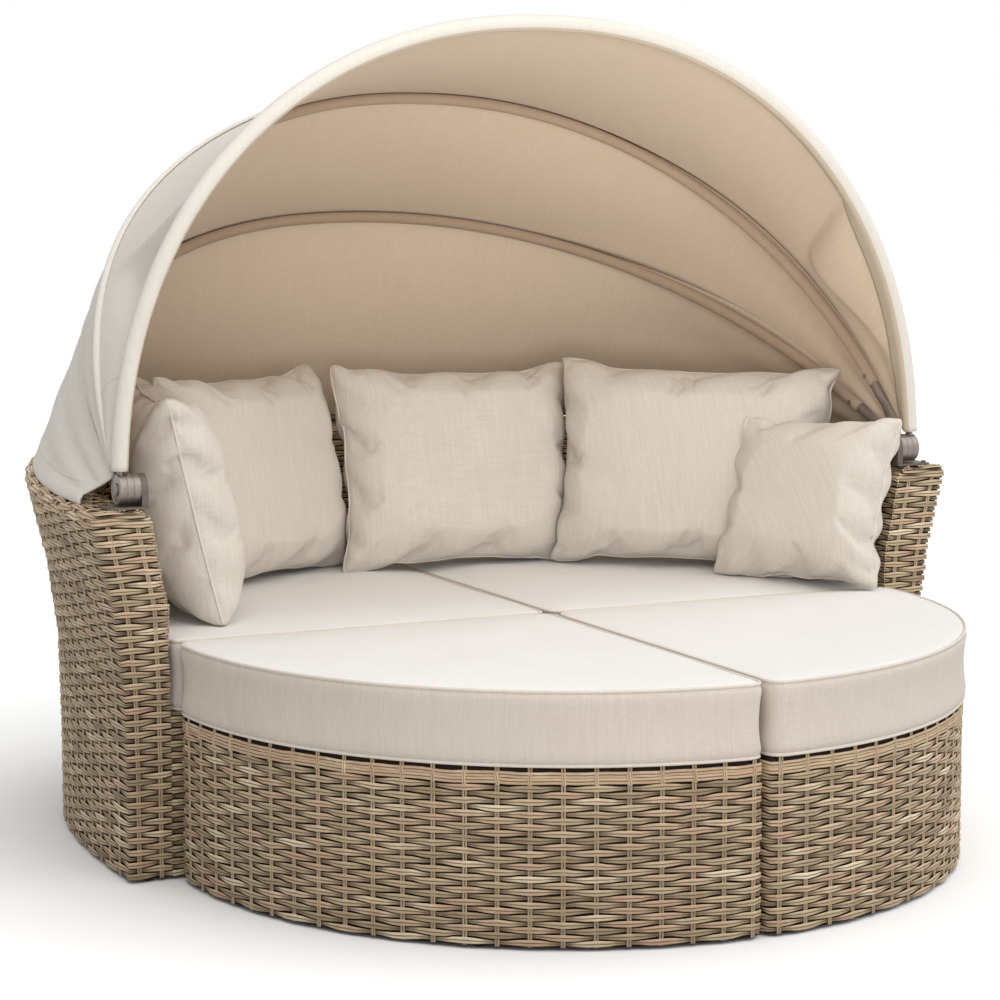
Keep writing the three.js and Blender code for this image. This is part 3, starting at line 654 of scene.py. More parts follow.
# %% Dress the solid parts
def dress(node, material):
    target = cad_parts[node]
    if not target.material_slots:
        target.data.materials.append(material)
    for slot in target.material_slots:
        slot.material = material


def finish_for(node):
    if "glide" in node:
        return glide_plastic
    if node.endswith("deck"):
        return deck_weave
    # Painted shade: the hinge brackets take the dark frame metal, so that they sink into the dark round
    # the hinges.
    if node.startswith("hinge_bracket"):
        return frame_metal
    if "screw" in node:
        return screw_metal
    if node.startswith("hinge"):
        return hinge_metal
    return frame_metal


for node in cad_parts:
    dress(node, finish_for(node))
print("dressed", len(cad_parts), "solid parts")

# %% [markdown]
# ## The weave
# Every wall is woven the same way: pairs of thin upright stakes about five centimetres apart, and
# flat strands that pass in front of one pair and behind the next, the other way round in the next
# row. A mesh of bare lines carries, at each point, which way is outward and how far the strand swings
# at that point. One Geometry Nodes tree turns the lines into strands, so that one set of inputs
# rules every wall. Shaping each strand by hand would give thousands of pieces to keep in line.

# %% The tree that turns lines into strands
row_pitch = 0.0102
stake_pitch = 0.052
steps_between_stakes = 3
strand_height = 0.0108
strand_thickness = 0.0026
strand_depth = -0.0017
backing_depth = 0.0052
backing_thickness = 0.0015
strand_swing = 0.0016
strand_wander = 0.0036
stake_radius = 0.0016
stake_spread = 0.0042


strand_choices = {
    "Height": ("Float", strand_height),
    "Thickness": ("Float", strand_thickness),
    "Depth": ("Float", strand_depth),
    "Swing": ("Float", strand_swing),
    "Wander": ("Float", strand_wander),
    "Groove": ("Float", 0.85),
    "Narrowing": ("Float", 0.52),
    "Sides": ("Int", 8),
    "Seed": ("Float", 3.0),
}


print("strand choices:", ", ".join(strand_choices))

# %% Trees that take lines
class LineTree(Graph):
    """A tree that takes lines, named choices and a finish, and gives dressed geometry."""

    def __init__(self, name, result, choices):
        super().__init__(bpy.data.node_groups.new(name, "GeometryNodeTree"))
        self.inputs = {}
        self.add_input("Lines", "Geometry")
        for label, (kind, value) in choices.items():
            self.add_input(label, kind).default_value = value
        self.add_input("Finish", "Material")
        sockets = self.tree.interface
        sockets.new_socket(result, in_out="OUTPUT", socket_type="NodeSocketGeometry")
        outputs = self.tree.nodes.new("NodeGroupInput").outputs
        self.given = {socket.name: Value(self, socket) for socket in outputs if socket.name}

    def add_input(self, label, kind):
        sockets = self.tree.interface
        made = sockets.new_socket(label, in_out="INPUT", socket_type=f"NodeSocket{kind}")
        self.inputs[label] = made.identifier
        return made

    def named(self, label, kind):
        settings = {"data_type": kind}
        return self.node("GeometryNodeInputNamedAttribute", settings, {"Name": label}, "Attribute")

    def upright_curves(self, lines, outward):
        curves = self.node("GeometryNodeMeshToCurve", None, {"Mesh": lines})
        inputs = {"Curve": curves, "Normal": outward}
        return self.node("GeometryNodeSetCurveNormal", {"mode": "FREE"}, inputs)

    def finished(self, geometry):
        """The tree's end: real geometry that wears its finish."""
        whole = self.node("GeometryNodeRealizeInstances", None, {"Geometry": geometry})
        inputs = {"Geometry": whole, "Material": self.given["Finish"]}
        self.node("NodeGroupOutput", None, {0: self.node("GeometryNodeSetMaterial", None, inputs)})
        return self


print("line trees can be written")

# %% The strand tree
def strand_section(graph):
    """A grooved outline of width 1, made as thick and as high as the choices say."""
    inputs = {"Resolution": graph.given["Sides"], "Radius": 1.0}
    circle = graph.node("GeometryNodeCurvePrimitiveCircle", None, inputs)
    x, y, z = graph.split(graph.node("GeometryNodeInputPosition"))
    lobes = 1.0 + graph.given["Groove"] * (2.0 * abs(y) - 1.0)
    thick = x * lobes * graph.given["Thickness"] * 0.5
    section = {"X": thick, "Y": y * graph.given["Height"] * 0.5, "Z": z}
    section = graph.node("ShaderNodeCombineXYZ", None, section)
    # The lobe value is 0 down the groove in the middle of the strand, where the finish paints shade.
    kept = {"data_type": "FLOAT", "domain": "POINT"}
    inputs = {"Geometry": circle, "Name": "lobe", "Value": abs(y)}
    marked = graph.node("GeometryNodeStoreNamedAttribute", kept, inputs)
    return graph.node("GeometryNodeSetPosition", None, {"Geometry": marked, "Position": section})


def strand_tree():
    """Lines with an outward direction and a swing become grooved strands."""
    graph = LineTree("woven_strands", "Strands", strand_choices)
    given = graph.given
    outward = graph.named("outward", "FLOAT_VECTOR")
    swing = graph.named("swing", "FLOAT")

    noise_inputs = {"W": given["Seed"], "Scale": 24.0, "Detail": 1.0}
    noise = graph.node("ShaderNodeTexNoise", {"noise_dimensions": "4D"}, noise_inputs, "Color")
    centred = graph.vector("SUBTRACT", {0: noise, 1: (0.5, 0.5, 0.5)})
    wander = graph.vector("SCALE", {"Vector": centred, "Scale": given["Wander"] * 2.0})
    out_by = given["Depth"] + given["Swing"] * swing
    pushed = graph.vector("SCALE", {"Vector": outward, "Scale": out_by})
    offset = graph.vector("ADD", {0: pushed, 1: wander})
    inputs = {"Geometry": given["Lines"], "Offset": offset}
    moved = graph.node("GeometryNodeSetPosition", None, inputs)

    width = 1.0 - given["Narrowing"] * (0.5 - 0.5 * swing)
    swept = {
        "Curve": graph.upright_curves(moved, outward),
        "Profile Curve": strand_section(graph),
        "Scale": width,
        "Fill Caps": True,
    }
    strands = graph.node("GeometryNodeCurveToMesh", None, swept)
    inputs = {"Geometry": strands, "Shade Smooth": True}
    return graph.finished(graph.node("GeometryNodeSetShadeSmooth", None, inputs))


woven_strands = strand_tree()
print("tree inputs:", ", ".join(woven_strands.inputs))


# %% Lines that carry their outward direction
class Lines:
    """Open lines of points with an outward direction and further values at each point."""

    def __init__(self, *labels):
        self.points = []
        self.edges = []
        self.outward = []
        self.values = {label: [] for label in labels}
        self.count = 0

    def add(self, points, outward, *values):
        count = len(points)
        self.points.append(points)
        self.outward.append(outward)
        for kept, value in zip(self.values.values(), values):
            kept.append(np.broadcast_to(value, (count,)))
        self.edges += [(self.count + i, self.count + i + 1) for i in range(count - 1)]
        self.count += count

    def object(self, name, graph, **choices):
        """The mesh that a tree makes of the lines."""
        points = np.concatenate(self.points)
        points[:, 1] -= depth_centre
        mesh = bpy.data.meshes.new(name)
        mesh.from_pydata(points.tolist(), self.edges, [])
        outward = mesh.attributes.new("outward", "FLOAT_VECTOR", "POINT")
        directions = np.concatenate(self.outward).astype(np.float32)
        outward.data.foreach_set("vector", directions.ravel())
        for label, values in self.values.items():
            attribute = mesh.attributes.new(label, "FLOAT", "POINT")
            attribute.data.foreach_set("value", np.concatenate(values).astype(np.float32))
        made = bpy.data.objects.new(name, mesh)
        scene.collection.objects.link(made)
        return grown(made, graph, choices)


def evaluated_mesh(made):
    state = bpy.context.evaluated_depsgraph_get()
    return bpy.data.meshes.new_from_object(made.evaluated_get(state))


class Weave(Lines):
    """Lines that become wicker strands."""

    def __init__(self):
        super().__init__("swing", "tint")

    def object(self, name, **choices):
        return super().object(name, woven_strands, Finish=wicker_strand, **choices)


def grown(made, graph, choices):
    """Runs a tree on an object and keeps the result as its plain mesh."""
    modifier = made.modifiers.new("grow", "NODES")
    modifier.node_group = graph.tree
    for name, value in choices.items():
        modifier[graph.inputs[name]] = value
    made.update_tag()
    mesh = evaluated_mesh(made)
    made.modifiers.clear()
    made.data = mesh
    return made


def normals_in_plan(points):
    """The right-hand side of a line seen from above, which is outward when it runs anticlockwise."""
    ahead = np.gradient(points[:, :2], axis=0)
    return unit(np.stack([ahead[:, 1], -ahead[:, 0], np.zeros(len(points))], axis=1))


chance = np.random.default_rng(11)
print("weave lines ready")

# %% [markdown]
# ## The backrest's weave
# The rows of the outer wall start on the front of the right arm, run round the back and end on the
# front of the left arm. Inside, they start just under the seat cushions' top. The rim is a rolled
# border: rows lie close over it, and the stakes' ends are bent over them.

# %% Rows round the backrest
stakes_round = 56
arm_stakes = 2
first_row = 0.012
inner_first_row = 0.409
row_tone_share = 0.3
front_stake_shares = (0.25, 0.75)


def level(plan, height):
    return np.column_stack([plan, np.full(len(plan), height)])


def raised(plan, height, share):
    z = height + share * (arm_top(plan[:, 1]) - arm_top_height)
    return np.column_stack([plan, z])


def outer_share(height):
    return min((height - floor_gap) / (wall_straight - floor_gap), 1)


def inner_share(height):
    return min((height - well_start) / (wall_straight - well_start), 1)


def wall_plan(half, depth, grow):
    fine = half_plan(half + grow, depth + grow, 720)
    return even(fine, stakes_round * steps_between_stakes)


def outer_plan(height, inset=0.0):
    return wall_plan(arm_outer_half, back_depth, outer_grow(height) - inset)


def inner_plan(height, inset=0.0):
    return wall_plan(arm_inner_half, inner_depth, inner_grow(height) + inset)


def arm_front(height, side, inset=0.0):
    """Points across the front of an arm, from its inner edge to its outer one."""
    inner = arm_inner_half + inner_grow(height) + inset
    outer = arm_outer_half + outer_grow(height) - inset
    across = np.linspace(inner, outer, arm_stakes * steps_between_stakes + 1)
    return np.stack([side * across, np.full(len(across), arm_face_back)], axis=1)


def around_arms(height, inset=0.0):
    """A row across the right arm's front, round the outside and across the left arm's front."""
    outer = outer_plan(height, inset)
    right = arm_front(height, 1, inset)[:-1]
    left = arm_front(height, -1, inset)[::-1][1:]
    plan = np.concatenate([right, outer, left])
    outward = normals_in_plan(plan)
    ahead = (0, -1, 0)
    outward[: len(right)] = ahead
    outward[-len(left) :] = ahead
    outward[len(right)] = (1, -1, 0)
    outward[-len(left) - 1] = (-1, -1, 0)
    return plan, outward


print("rows round the backrest can be laid")

# %% How a row passes its stakes
def even_places(count):
    """Where each point of a row lies among its stakes, which stand at the whole numbers."""
    return np.arange(count) / steps_between_stakes


def arm_places(count):
    """The same for a row round both arms, with stakes at two shares of an arm's front."""
    across = arm_stakes * steps_between_stakes
    near = np.append(across * np.array(front_stake_shares), across + steps_between_stakes)
    numbers = np.arange(1, len(near) + 1)
    last = count - 1
    index = np.concatenate([[-near[0]], near, (last - near)[::-1], [last + near[0]]])
    total = last / steps_between_stakes
    places = np.concatenate([[0], numbers, (total - numbers)[::-1], [total]])
    return np.interp(np.arange(count), index, places)


def swings(places, row):
    """How far out each point of a row lies, from -1 behind a stake to 1 in front of it."""
    return np.cos(math.pi * (places + row))


def float_tones(places, row):
    """A tone for each float of a row; it changes where the strand dives behind a stake."""
    number = np.floor((places + row + 1) / 2).astype(int)
    own = chance.random(number.max() + 1)[number]
    return row_tone_share * chance.random() + (1 - row_tone_share) * own


def add_row(lines, points, outward, places, row):
    lines.add(points, outward, swings(places, row), float_tones(places, row))


def backrest_rows():
    lines = Weave()
    for row, height in enumerate(np.arange(first_row, wall_straight, row_pitch)):
        plan, outward = around_arms(height)
        points = raised(plan, height, outer_share(height))
        add_row(lines, points, outward, arm_places(len(plan)), row)
    return lines


def inner_rows():
    lines = Weave()
    for row, height in enumerate(np.arange(inner_first_row, wall_straight, row_pitch)):
        plan = inner_plan(height)
        points = raised(plan, height, inner_share(height))
        add_row(lines, points, -normals_in_plan(plan), even_places(len(plan)), row)
    return lines


weave_outside = backrest_rows().object("weave_outside")
weave_inside = inner_rows().object("weave_inside")
for piece in (weave_outside, weave_inside):
    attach(piece, "sofa")
    print(piece.name, len(piece.data.polygons), "faces")

# %% Rolled rim
rim_turns = (12, 40, 68)
rim_rows_flat = 4
stake_size = {
    "Height": 2 * stake_radius,
    "Thickness": 2 * stake_radius,
    "Groove": 0.0,
    "Sides": 6,
    "Wander": 0.0,
    "Swing": 0.0,
    "Narrowing": 0.0,
}
rim_strand_height = 0.0122
rim_narrowing = 0.45
half_turn = 180
stake_swing = 0.4


def rim_station(turn):
    """Inset and height of the round edge at a turn in degrees, and the same turn in radians."""
    angle = math.radians(turn)
    return rim_round * (1 - math.cos(angle)), wall_straight + rim_round * math.sin(angle), angle


def leaned(outward, angle):
    return outward * math.cos(angle) + np.array([0, 0, math.sin(angle)])


def rim_rows():
    lines = Weave()
    for row, turn in enumerate(rim_turns):
        inset, height, angle = rim_station(turn)
        plan, outward = around_arms(height, inset)
        points = raised(plan, height, 1)
        add_row(lines, points, leaned(outward, angle), arm_places(len(plan)), row)
        plan = inner_plan(height, inset)
        outward = leaned(-normals_in_plan(plan), angle)
        add_row(lines, raised(plan, height, 1), outward, even_places(len(plan)), row)
    flat = arm_thickness + outer_grow(arm_top_height) - inner_grow(arm_top_height) - 2 * rim_round
    for row in range(rim_rows_flat):
        inset = rim_round + flat * (row + 0.5) / rim_rows_flat
        plan = outer_plan(arm_top_height, inset)
        outward = np.tile((0.0, 0.0, 1.0), (len(plan), 1))
        points = raised(plan, arm_top_height, 1)
        add_row(lines, points, outward, even_places(len(plan)), row)
    return lines


def rim_section(share, steps=14):
    """One wrap over the rim: points from the outer wall, over the top, to the inner wall."""
    points, outward = [], []
    index = int(round(share * stakes_round * steps_between_stakes))
    for turn in np.linspace(0, half_turn, steps):
        inset, height, angle = rim_station(min(turn, half_turn - turn))
        outside = turn <= half_turn / 2
        plan = outer_plan(height, inset) if outside else inner_plan(height, inset)
        normal = normals_in_plan(plan)[index] * (1 if outside else -1)
        points.append(raised(plan[index : index + 1], height, 1)[0])
        outward.append(leaned(normal, angle))
    return np.array(points), np.array(outward)


def rim_ties():
    """The stakes' ends, bent over the rim from the outer wall to the inner one."""
    lines = Weave()
    outer = outer_plan(wall_straight)
    for stake in range(1, stakes_round):
        index = stake * steps_between_stakes
        points, outward = rim_section(stake / stakes_round)
        along = np.append(unit(outer[index + 1] - outer[index - 1]), 0)
        for half in (-1, 1):
            tone = 0.25 + 0.6 * chance.random()
            lines.add(points + half * stake_spread / 2 * along, outward, stake_swing, tone)
    return lines


weave_rim = rim_rows().object("weave_rim", Height=rim_strand_height, Narrowing=rim_narrowing)
rim_wraps = rim_ties().object("rim_wraps", **stake_size)
for piece in (weave_rim, rim_wraps):
    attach(piece, "sofa")
    print(piece.name, len(piece.data.polygons), "faces")

# %% Stakes of the backrest
def bends_of(start, bottom):
    """The heights at which a wall bends, from a lowest one to the rim; its levels start lower down."""
    levels = start + np.array(level_shares) * (wall_straight - start)
    return np.append(bottom, levels[levels > bottom + touch_gap])


def front_heights():
    return np.union1d(bends_of(floor_gap, floor_gap), bends_of(well_start, floor_gap))


def stake_tone():
    return 0.3 + 0.4 * chance.random()


def wall_stakes(lines, plan_at, share_at, heights, facing):
    plans = [raised(plan_at(height), height, share_at(height)) for height in heights]
    normals = [facing * normals_in_plan(plan) for plan in plans]
    for stake in range(1, stakes_round):
        index = stake * steps_between_stakes
        along = unit(plans[0][index + 1] - plans[0][index - 1])
        for side in (-1, 1):
            points = np.array([plan[index] + side * stake_spread / 2 * along for plan in plans])
            outward = np.array([normal[index] for normal in normals])
            lines.add(points, outward, stake_swing, stake_tone())


def front_stakes(lines):
    """Pairs of stakes up the front of each arm."""
    heights = front_heights()
    levels = len(heights)
    inner = arm_inner_half + inner_grow(heights)
    outer = arm_outer_half + outer_grow(heights)
    ahead = np.tile((0.0, -1.0, 0.0), (levels, 1))
    for side in (1, -1):
        for share in front_stake_shares:
            for half in (-1, 1):
                x = side * (inner + share * (outer - inner)) + half * stake_spread / 2
                points = np.column_stack([x, np.full(levels, arm_face_back), heights])
                lines.add(points, ahead, stake_swing, stake_tone())


stake_lines = Weave()
wall_stakes(stake_lines, outer_plan, outer_share, bends_of(floor_gap, floor_gap), 1)
wall_stakes(stake_lines, inner_plan, inner_share, bends_of(well_start, inner_first_row), -1)
front_stakes(stake_lines)
backrest_stakes = stake_lines.object("backrest_stakes", **stake_size)
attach(backrest_stakes, "sofa")
print(backrest_stakes.name, len(backrest_stakes.data.polygons), "faces")

# %% Dark sheet of painted shade behind the backrest's weave
backing_turns = (20, 40, 60, 80)
plate_turns = (30, 60, 85)


def backing_edge(plan_at, turns):
    """Rows of the backing over one side of the rim's round edge."""
    rows = []
    for turn in turns:
        inset, height, angle = rim_station(turn)
        plan = plan_at(height, inset + backing_depth * math.cos(angle))
        rows.append(raised(plan, height - backing_depth * math.sin(angle), 1))
    return rows


def backing_grid():
    """The sheet of painted shade in the wall's own shape, a few millimetres under the strands: outside,
    over the rim, inside.
    """
    rows = []
    for height in bends_of(floor_gap, floor_gap):
        rows.append(raised(outer_plan(height, backing_depth), height, outer_share(height)))
    rows += backing_edge(outer_plan, backing_turns)
    rows += backing_edge(inner_plan, backing_turns[::-1])
    for height in bends_of(well_start, deck_top)[::-1]:
        rows.append(raised(inner_plan(height, backing_depth), height, inner_share(height)))
    grid = np.array(rows)
    grid[:, :, 1] = np.maximum(grid[:, :, 1], arm_face_back + backing_depth)
    return grid


def arm_plate(side):
    """The dark sheet of painted shade across an arm's front, from the floor to the rim."""
    rows = []
    for height in front_heights():
        rows.append((height, arm_front(height, side, backing_depth)))
    for turn in plate_turns:
        inset, height, angle = rim_station(turn)
        plan = arm_front(height, side, inset + backing_depth)
        rows.append((height - backing_depth * math.sin(angle), plan))
    grid = np.array([level(plan, height) for height, plan in rows])
    grid[:, :, 1] += backing_depth
    return grid if side > 0 else grid[:, ::-1]


def outward_sheet(shell, grid, away_from):
    """A thin sheet whose first side looks away from a point."""
    normal = np.cross(np.gradient(grid, axis=0), np.gradient(grid, axis=1))
    if np.sum(normal * (grid - away_from)) < 0:
        grid = grid[:, ::-1]
    return sheet_shell(shell, grid, backing_thickness, 0, 0)


seat_middle = np.array([0, inner_depth / 2, seat_height])
backing = Shell()
outward_sheet(backing, backing_grid(), seat_middle)
outward_sheet(backing, arm_plate(1), seat_middle)
outward_sheet(backing, arm_plate(-1), seat_middle)
backrest_shade_sheet = backing.object("backrest_shade_sheet", [wicker_backing])
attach(backrest_shade_sheet, "sofa")
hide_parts("sofa_backrest_wicker")
print(backrest_shade_sheet.name, len(backrest_shade_sheet.data.polygons), "faces")

# %% Front panel under the sofa's seat
def panel_weave():
    lines = Weave()
    stakes = int(round(2 * arm_inner_half / stake_pitch))
    across = np.linspace(-arm_inner_half, arm_inner_half, stakes * steps_between_stakes + 1)
    plan = np.stack([across, np.full(len(across), arm_face_back)], axis=1)
    outward = np.tile((0.0, -1.0, 0.0), (len(plan), 1))
    for row, height in enumerate(np.arange(first_row, deck_top, row_pitch)):
        add_row(lines, level(plan, height), outward, even_places(len(plan)), row)
    return lines


panel_rows = panel_weave().object("panel_rows")
# A dark sheet of painted shade behind the panel's strands.
panel_shade_sheet = Shell()
panel_heights = np.linspace(floor_gap, deck_top, 3)
panel_across = np.linspace(-arm_inner_half, arm_inner_half, 5)
panel_back = arm_face_back + backing_depth
panel_grid = np.array([[(x, panel_back, height) for x in panel_across] for height in panel_heights])
outward_sheet(panel_shade_sheet, panel_grid, seat_middle)
panel_plate = panel_shade_sheet.object("panel_shade_sheet", [wicker_backing])
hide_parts("sofa_front_wicker")
for piece in (panel_rows, panel_plate):
    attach(piece, "sofa")
print(panel_rows.name, len(panel_rows.data.polygons), "faces")

# %% [markdown]
# ## The ottomans' weave
# An ottoman is a quarter of the round seat. Its two straight sides stand close to its neighbours; the
# strands swing the same on every side.

# %% Outline of a quarter of the seat
border_drop = 0.007
border_room = 0.016
border_strands = (0.014, 0.004)
border_swing = 0.7
wrap_drops = (0.021, 0.009, 0.001)
wrap_lean = 0.004
wrap_size = {"Depth": -0.0012, "Height": 0.006}


def bend(start, control, end, count=8):
    share = np.linspace(0, 1, count + 1)[:, None]
    start, control, end = (np.array(point) for point in (start, control, end))
    return (1 - share) ** 2 * start + 2 * share * (1 - share) * control + share**2 * end


def on_round(radius, angles):
    x = radius * np.cos(angles)
    y = radius * np.sin(angles) - split_behind_centre
    return np.stack([x, y], axis=1)


def quarter_outline(radius, corner, gap, arc_steps=60):
    """The right front quarter, anticlockwise from the corner at the middle of the seat."""
    inner = gap / 2
    centre = -split_behind_centre
    side = math.sqrt(radius**2 - (centre + inner) ** 2)
    front = centre - math.sqrt(radius**2 - inner**2)
    turn = corner / radius
    side_angle = math.atan2(-inner - centre, side)
    front_angle = math.atan2(front - centre, inner)
    arc = on_round(radius, np.linspace(front_angle + turn, side_angle - turn, arc_steps + 1))
    parts = [
        bend((inner + corner, -inner), (inner, -inner), (inner, -inner - corner)),
        bend((inner, front + corner), (inner, front), arc[0]),
        arc[1:-1],
        bend(arc[-1], (side, -inner), (side - corner, -inner)),
    ]
    return np.concatenate(parts)


def closed_even(points, count):
    return even(np.concatenate([points, points[:1]]), count)


print("quarter outline ready")

# %% Weaving the ottomans
def ottoman_weave(side):
    lines = Weave()
    outline = quarter_outline(seat_radius - ottoman_inset, ottoman_corner, module_gap)
    length = lengths_along(np.concatenate([outline, outline[:1]]))[-1]
    stakes = 2 * int(round(length / stake_pitch / 2))
    plan = closed_even(outline, stakes * steps_between_stakes)
    outward = normals_in_plan(plan)
    if side < 0:
        plan, outward = plan * (-1, 1), outward * (-1, 1, 1)
    # The rows stop short of the deck's top, so a strip of the dark sheet shows under the cushion as its
    # painted shadow.
    top = deck_top - border_drop
    for row, height in enumerate(np.arange(first_row, top - border_room, row_pitch)):
        add_row(lines, level(plan, height), outward, even_places(len(plan)), row)
    for drop in border_strands:
        lines.add(level(plan, top - drop), outward, border_swing, 0.5 + 0.3 * chance.random())
    return lines, plan, outward


def stake_spots(plan):
    """The number of each stake's point, and the direction along the wall there."""
    for index in range(0, len(plan) - 1, steps_between_stakes):
        yield index, unit(plan[index + 1] - plan[index - 1 if index else -2])


def ottoman_uprights(plan, outward):
    lines = Weave()
    heights = np.linspace(floor_gap, deck_top, 3)
    for index, along in stake_spots(plan):
        for side in (-1, 1):
            foot = plan[index] + side * stake_spread / 2 * along
            points = np.array([(*foot, height) for height in heights])
            lines.add(points, np.tile(outward[index], (3, 1)), stake_swing, stake_tone())
    return lines


def ottoman_wraps(plan, outward):
    lines = Weave()
    heights = deck_top - border_drop - np.array(wrap_drops)
    for index, along in stake_spots(plan):
        lean = wrap_lean * (chance.random() - 0.5)
        low, high = plan[index] - lean * along, plan[index] + lean * along
        feet = (low, (low + high) / 2, high)
        points = np.array([(*foot, height) for foot, height in zip(feet, heights)])
        tone = 0.3 + 0.5 * chance.random()
        lines.add(points, np.tile(outward[index], (3, 1)), 1.0, tone)
    return lines


def ottoman_shade_sheet(plan, outward):
    """A dark band of painted shade a few millimetres under the strands."""
    inner = plan - outward[:, :2] * backing_depth
    grid = np.array([level(inner, height) for height in np.linspace(floor_gap, deck_top, 3)])
    centre = np.append(inner.mean(axis=0), deck_top / 2)
    return outward_sheet(Shell(), grid, centre)


for name, side in (("right", 1), ("left", -1)):
    rows, plan, outward = ottoman_weave(side)
    # The ottoman's dark band is painted shade, seen between its strands.
    band = ottoman_shade_sheet(plan, outward).object(f"ottoman_{name}_backing", [wicker_backing])
    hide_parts(f"ottoman_{name}_wicker")
    pieces = [
        band,
        rows.object(f"ottoman_{name}_rows"),
        ottoman_uprights(plan, outward).object(f"ottoman_{name}_stakes", **stake_size),
        ottoman_wraps(plan, outward).object(f"ottoman_{name}_wraps", **wrap_size),
    ]
    for piece in pieces:
        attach(piece, f"ottoman_{name}")
    print("ottoman", name, sum(len(piece.data.polygons) for piece in pieces), "faces")

# %% [markdown]
# ## Seat cushions
# A box cushion is foam in a sewn cover: two faces and a side band, joined by piped seams. The foam
# pushes the faces up to a low crown and the sides draw in a little between the seams. Each cushion is
# a stack of closed outlines, from the underside up over the round edge to the middle of the top.

# %% Outlines of the cushions
cushion_corner = 0.034
cushion_edge = 0.016
cushion_draw = 0.004
cushion_crown = 0.007
cushion_wall_gap = 0.003
piping_radius = 0.0027
band_rings = (8, 20)
under_shares = (0.96, 0.8, 0.55, 0.3, 0.12)
top_shares = (0.05, 0.12, 0.22, 0.35, 0.5, 0.66, 0.82, 0.96)
band_wave = 0.09
band_dent = 0.003
top_wave = 0.24
top_dent = 0.0035
top_drop = 0.001

cushion_bottom = seat_height - cushion_thickness
cushion_brim = seat_height - cushion_crown


def rear_outline(half, depth, corner, gap):
    """The right rear quarter, anticlockwise, inside the backrest."""
    inner = gap / 2
    back = half_plan(half, depth, 160)
    back = back[(back[:, 0] > inner + corner) & (back[:, 1] > inner + corner)]
    parts = [
        bend((inner, inner + corner), (inner, inner), (inner + corner, inner)),
        bend((half - corner, inner), (half, inner), (half, inner + corner)),
        back[back[:, 0] < half],
        bend(back[-1], (inner, arm_face_back + depth), (inner, arm_face_back + depth - corner)),
    ]
    return np.concatenate(parts)


def anticlockwise(outline):
    x, y = outline.T
    area = np.sum(x * np.roll(y, -1) - y * np.roll(x, -1))
    return outline if area > 0 else outline[::-1]


def inward_of(outline):
    ahead = unit(np.roll(outline, -1, axis=0) - np.roll(outline, 1, axis=0))
    return np.stack([-ahead[:, 1], ahead[:, 0]], axis=1)


def shrunk(outline, distance):
    return outline + inward_of(outline) * distance


def cushion_rings(outline):
    """Insets, heights and shares towards the middle for each ring of a cushion."""
    rings = [(cushion_edge, cushion_bottom, inwards) for inwards in under_shares]
    turns = np.linspace(0, math.pi / 2, 6)
    for turn in turns:
        inset = cushion_edge * (1 - math.sin(turn))
        rings.append((inset, cushion_bottom + cushion_edge * (1 - math.cos(turn)), 0))
    straight = cushion_brim - cushion_bottom - 2 * cushion_edge
    for share in np.linspace(0, 1, 9)[1:-1]:
        drawn_in = cushion_draw * 4 * share * (1 - share)
        rings.append((drawn_in, cushion_bottom + cushion_edge + straight * share, 0))
    for turn in turns:
        inset = cushion_edge * (1 - math.cos(turn))
        rings.append((inset, cushion_brim - cushion_edge * (1 - math.sin(turn)), 0))
    for inwards in top_shares:
        rise = cushion_crown * (1 - (1 - min(inwards / 0.45, 1)) ** 2.4)
        rings.append((cushion_edge, cushion_brim + rise, inwards))
    return rings


print("cushion outlines ready")

# %% Making the cushions
def soft_dents(points, size, depth, seed):
    """A smooth up and down from a few crossed waves, the same each run."""
    wheel = np.random.default_rng(seed)
    total = np.zeros(len(points))
    for _ in range(7):
        direction = unit(wheel.normal(size=3))
        wave = 2 * math.pi / (size * wheel.uniform(0.6, 1.6))
        total += np.sin(points @ direction * wave + wheel.uniform(0, 2 * math.pi))
    return total * depth / 7


def dented(points, inward, seed):
    """A cushion's points with a slightly uneven side band and top."""
    lift = (points[:, 2] - seat_height + cushion_thickness) / cushion_thickness
    band = np.clip(1 - np.abs(lift - 0.5) * 2.4, 0, 1)
    drawn = np.abs(inward * (soft_dents(points, band_wave, band_dent, seed) * band)[:, None])
    points[:, :2] += drawn * np.sign(inward)
    top = np.clip((lift - 0.9) / 0.1, 0, 1)
    points[:, 2] += top * soft_dents(points, top_wave, top_dent, seed + 1) - top_drop * top
    return points


def cushion_shell(outline, seed):
    outline = closed_even(anticlockwise(outline), 220)[:-1]
    centre = outline.mean(axis=0)
    rings = []
    for inset, height, inwards in cushion_rings(outline):
        plan = shrunk(outline, inset)
        rings.append(level(plan + (centre - plan) * inwards, height))
    inward = np.tile(inward_of(outline), (len(rings), 1))
    count = len(outline)
    shell = Shell().add(dented(np.concatenate(rings), inward, seed), capped_faces(len(rings), count))
    first, last = (ring * count for ring in band_rings)
    # The side band takes the side cloth, whose darker colour is partly painted shade.
    shell.finishes[first:last] = [2] * (last - first)
    inset = cushion_edge * (1 - math.sqrt(0.5)) - piping_radius * 0.5
    for height in (cushion_bottom + inset, cushion_brim - inset):
        path = level(shrunk(outline, inset), height)
        shell.add(*tube(path, piping_radius, 8, closed=True), 1)
    return shell


def mirrored(outline):
    return outline * (-1, 1)


front_outline = quarter_outline(seat_radius, cushion_corner, module_gap)
back_half = arm_inner_half - cushion_wall_gap
back_outline = rear_outline(back_half, inner_depth - cushion_wall_gap, cushion_corner, module_gap)

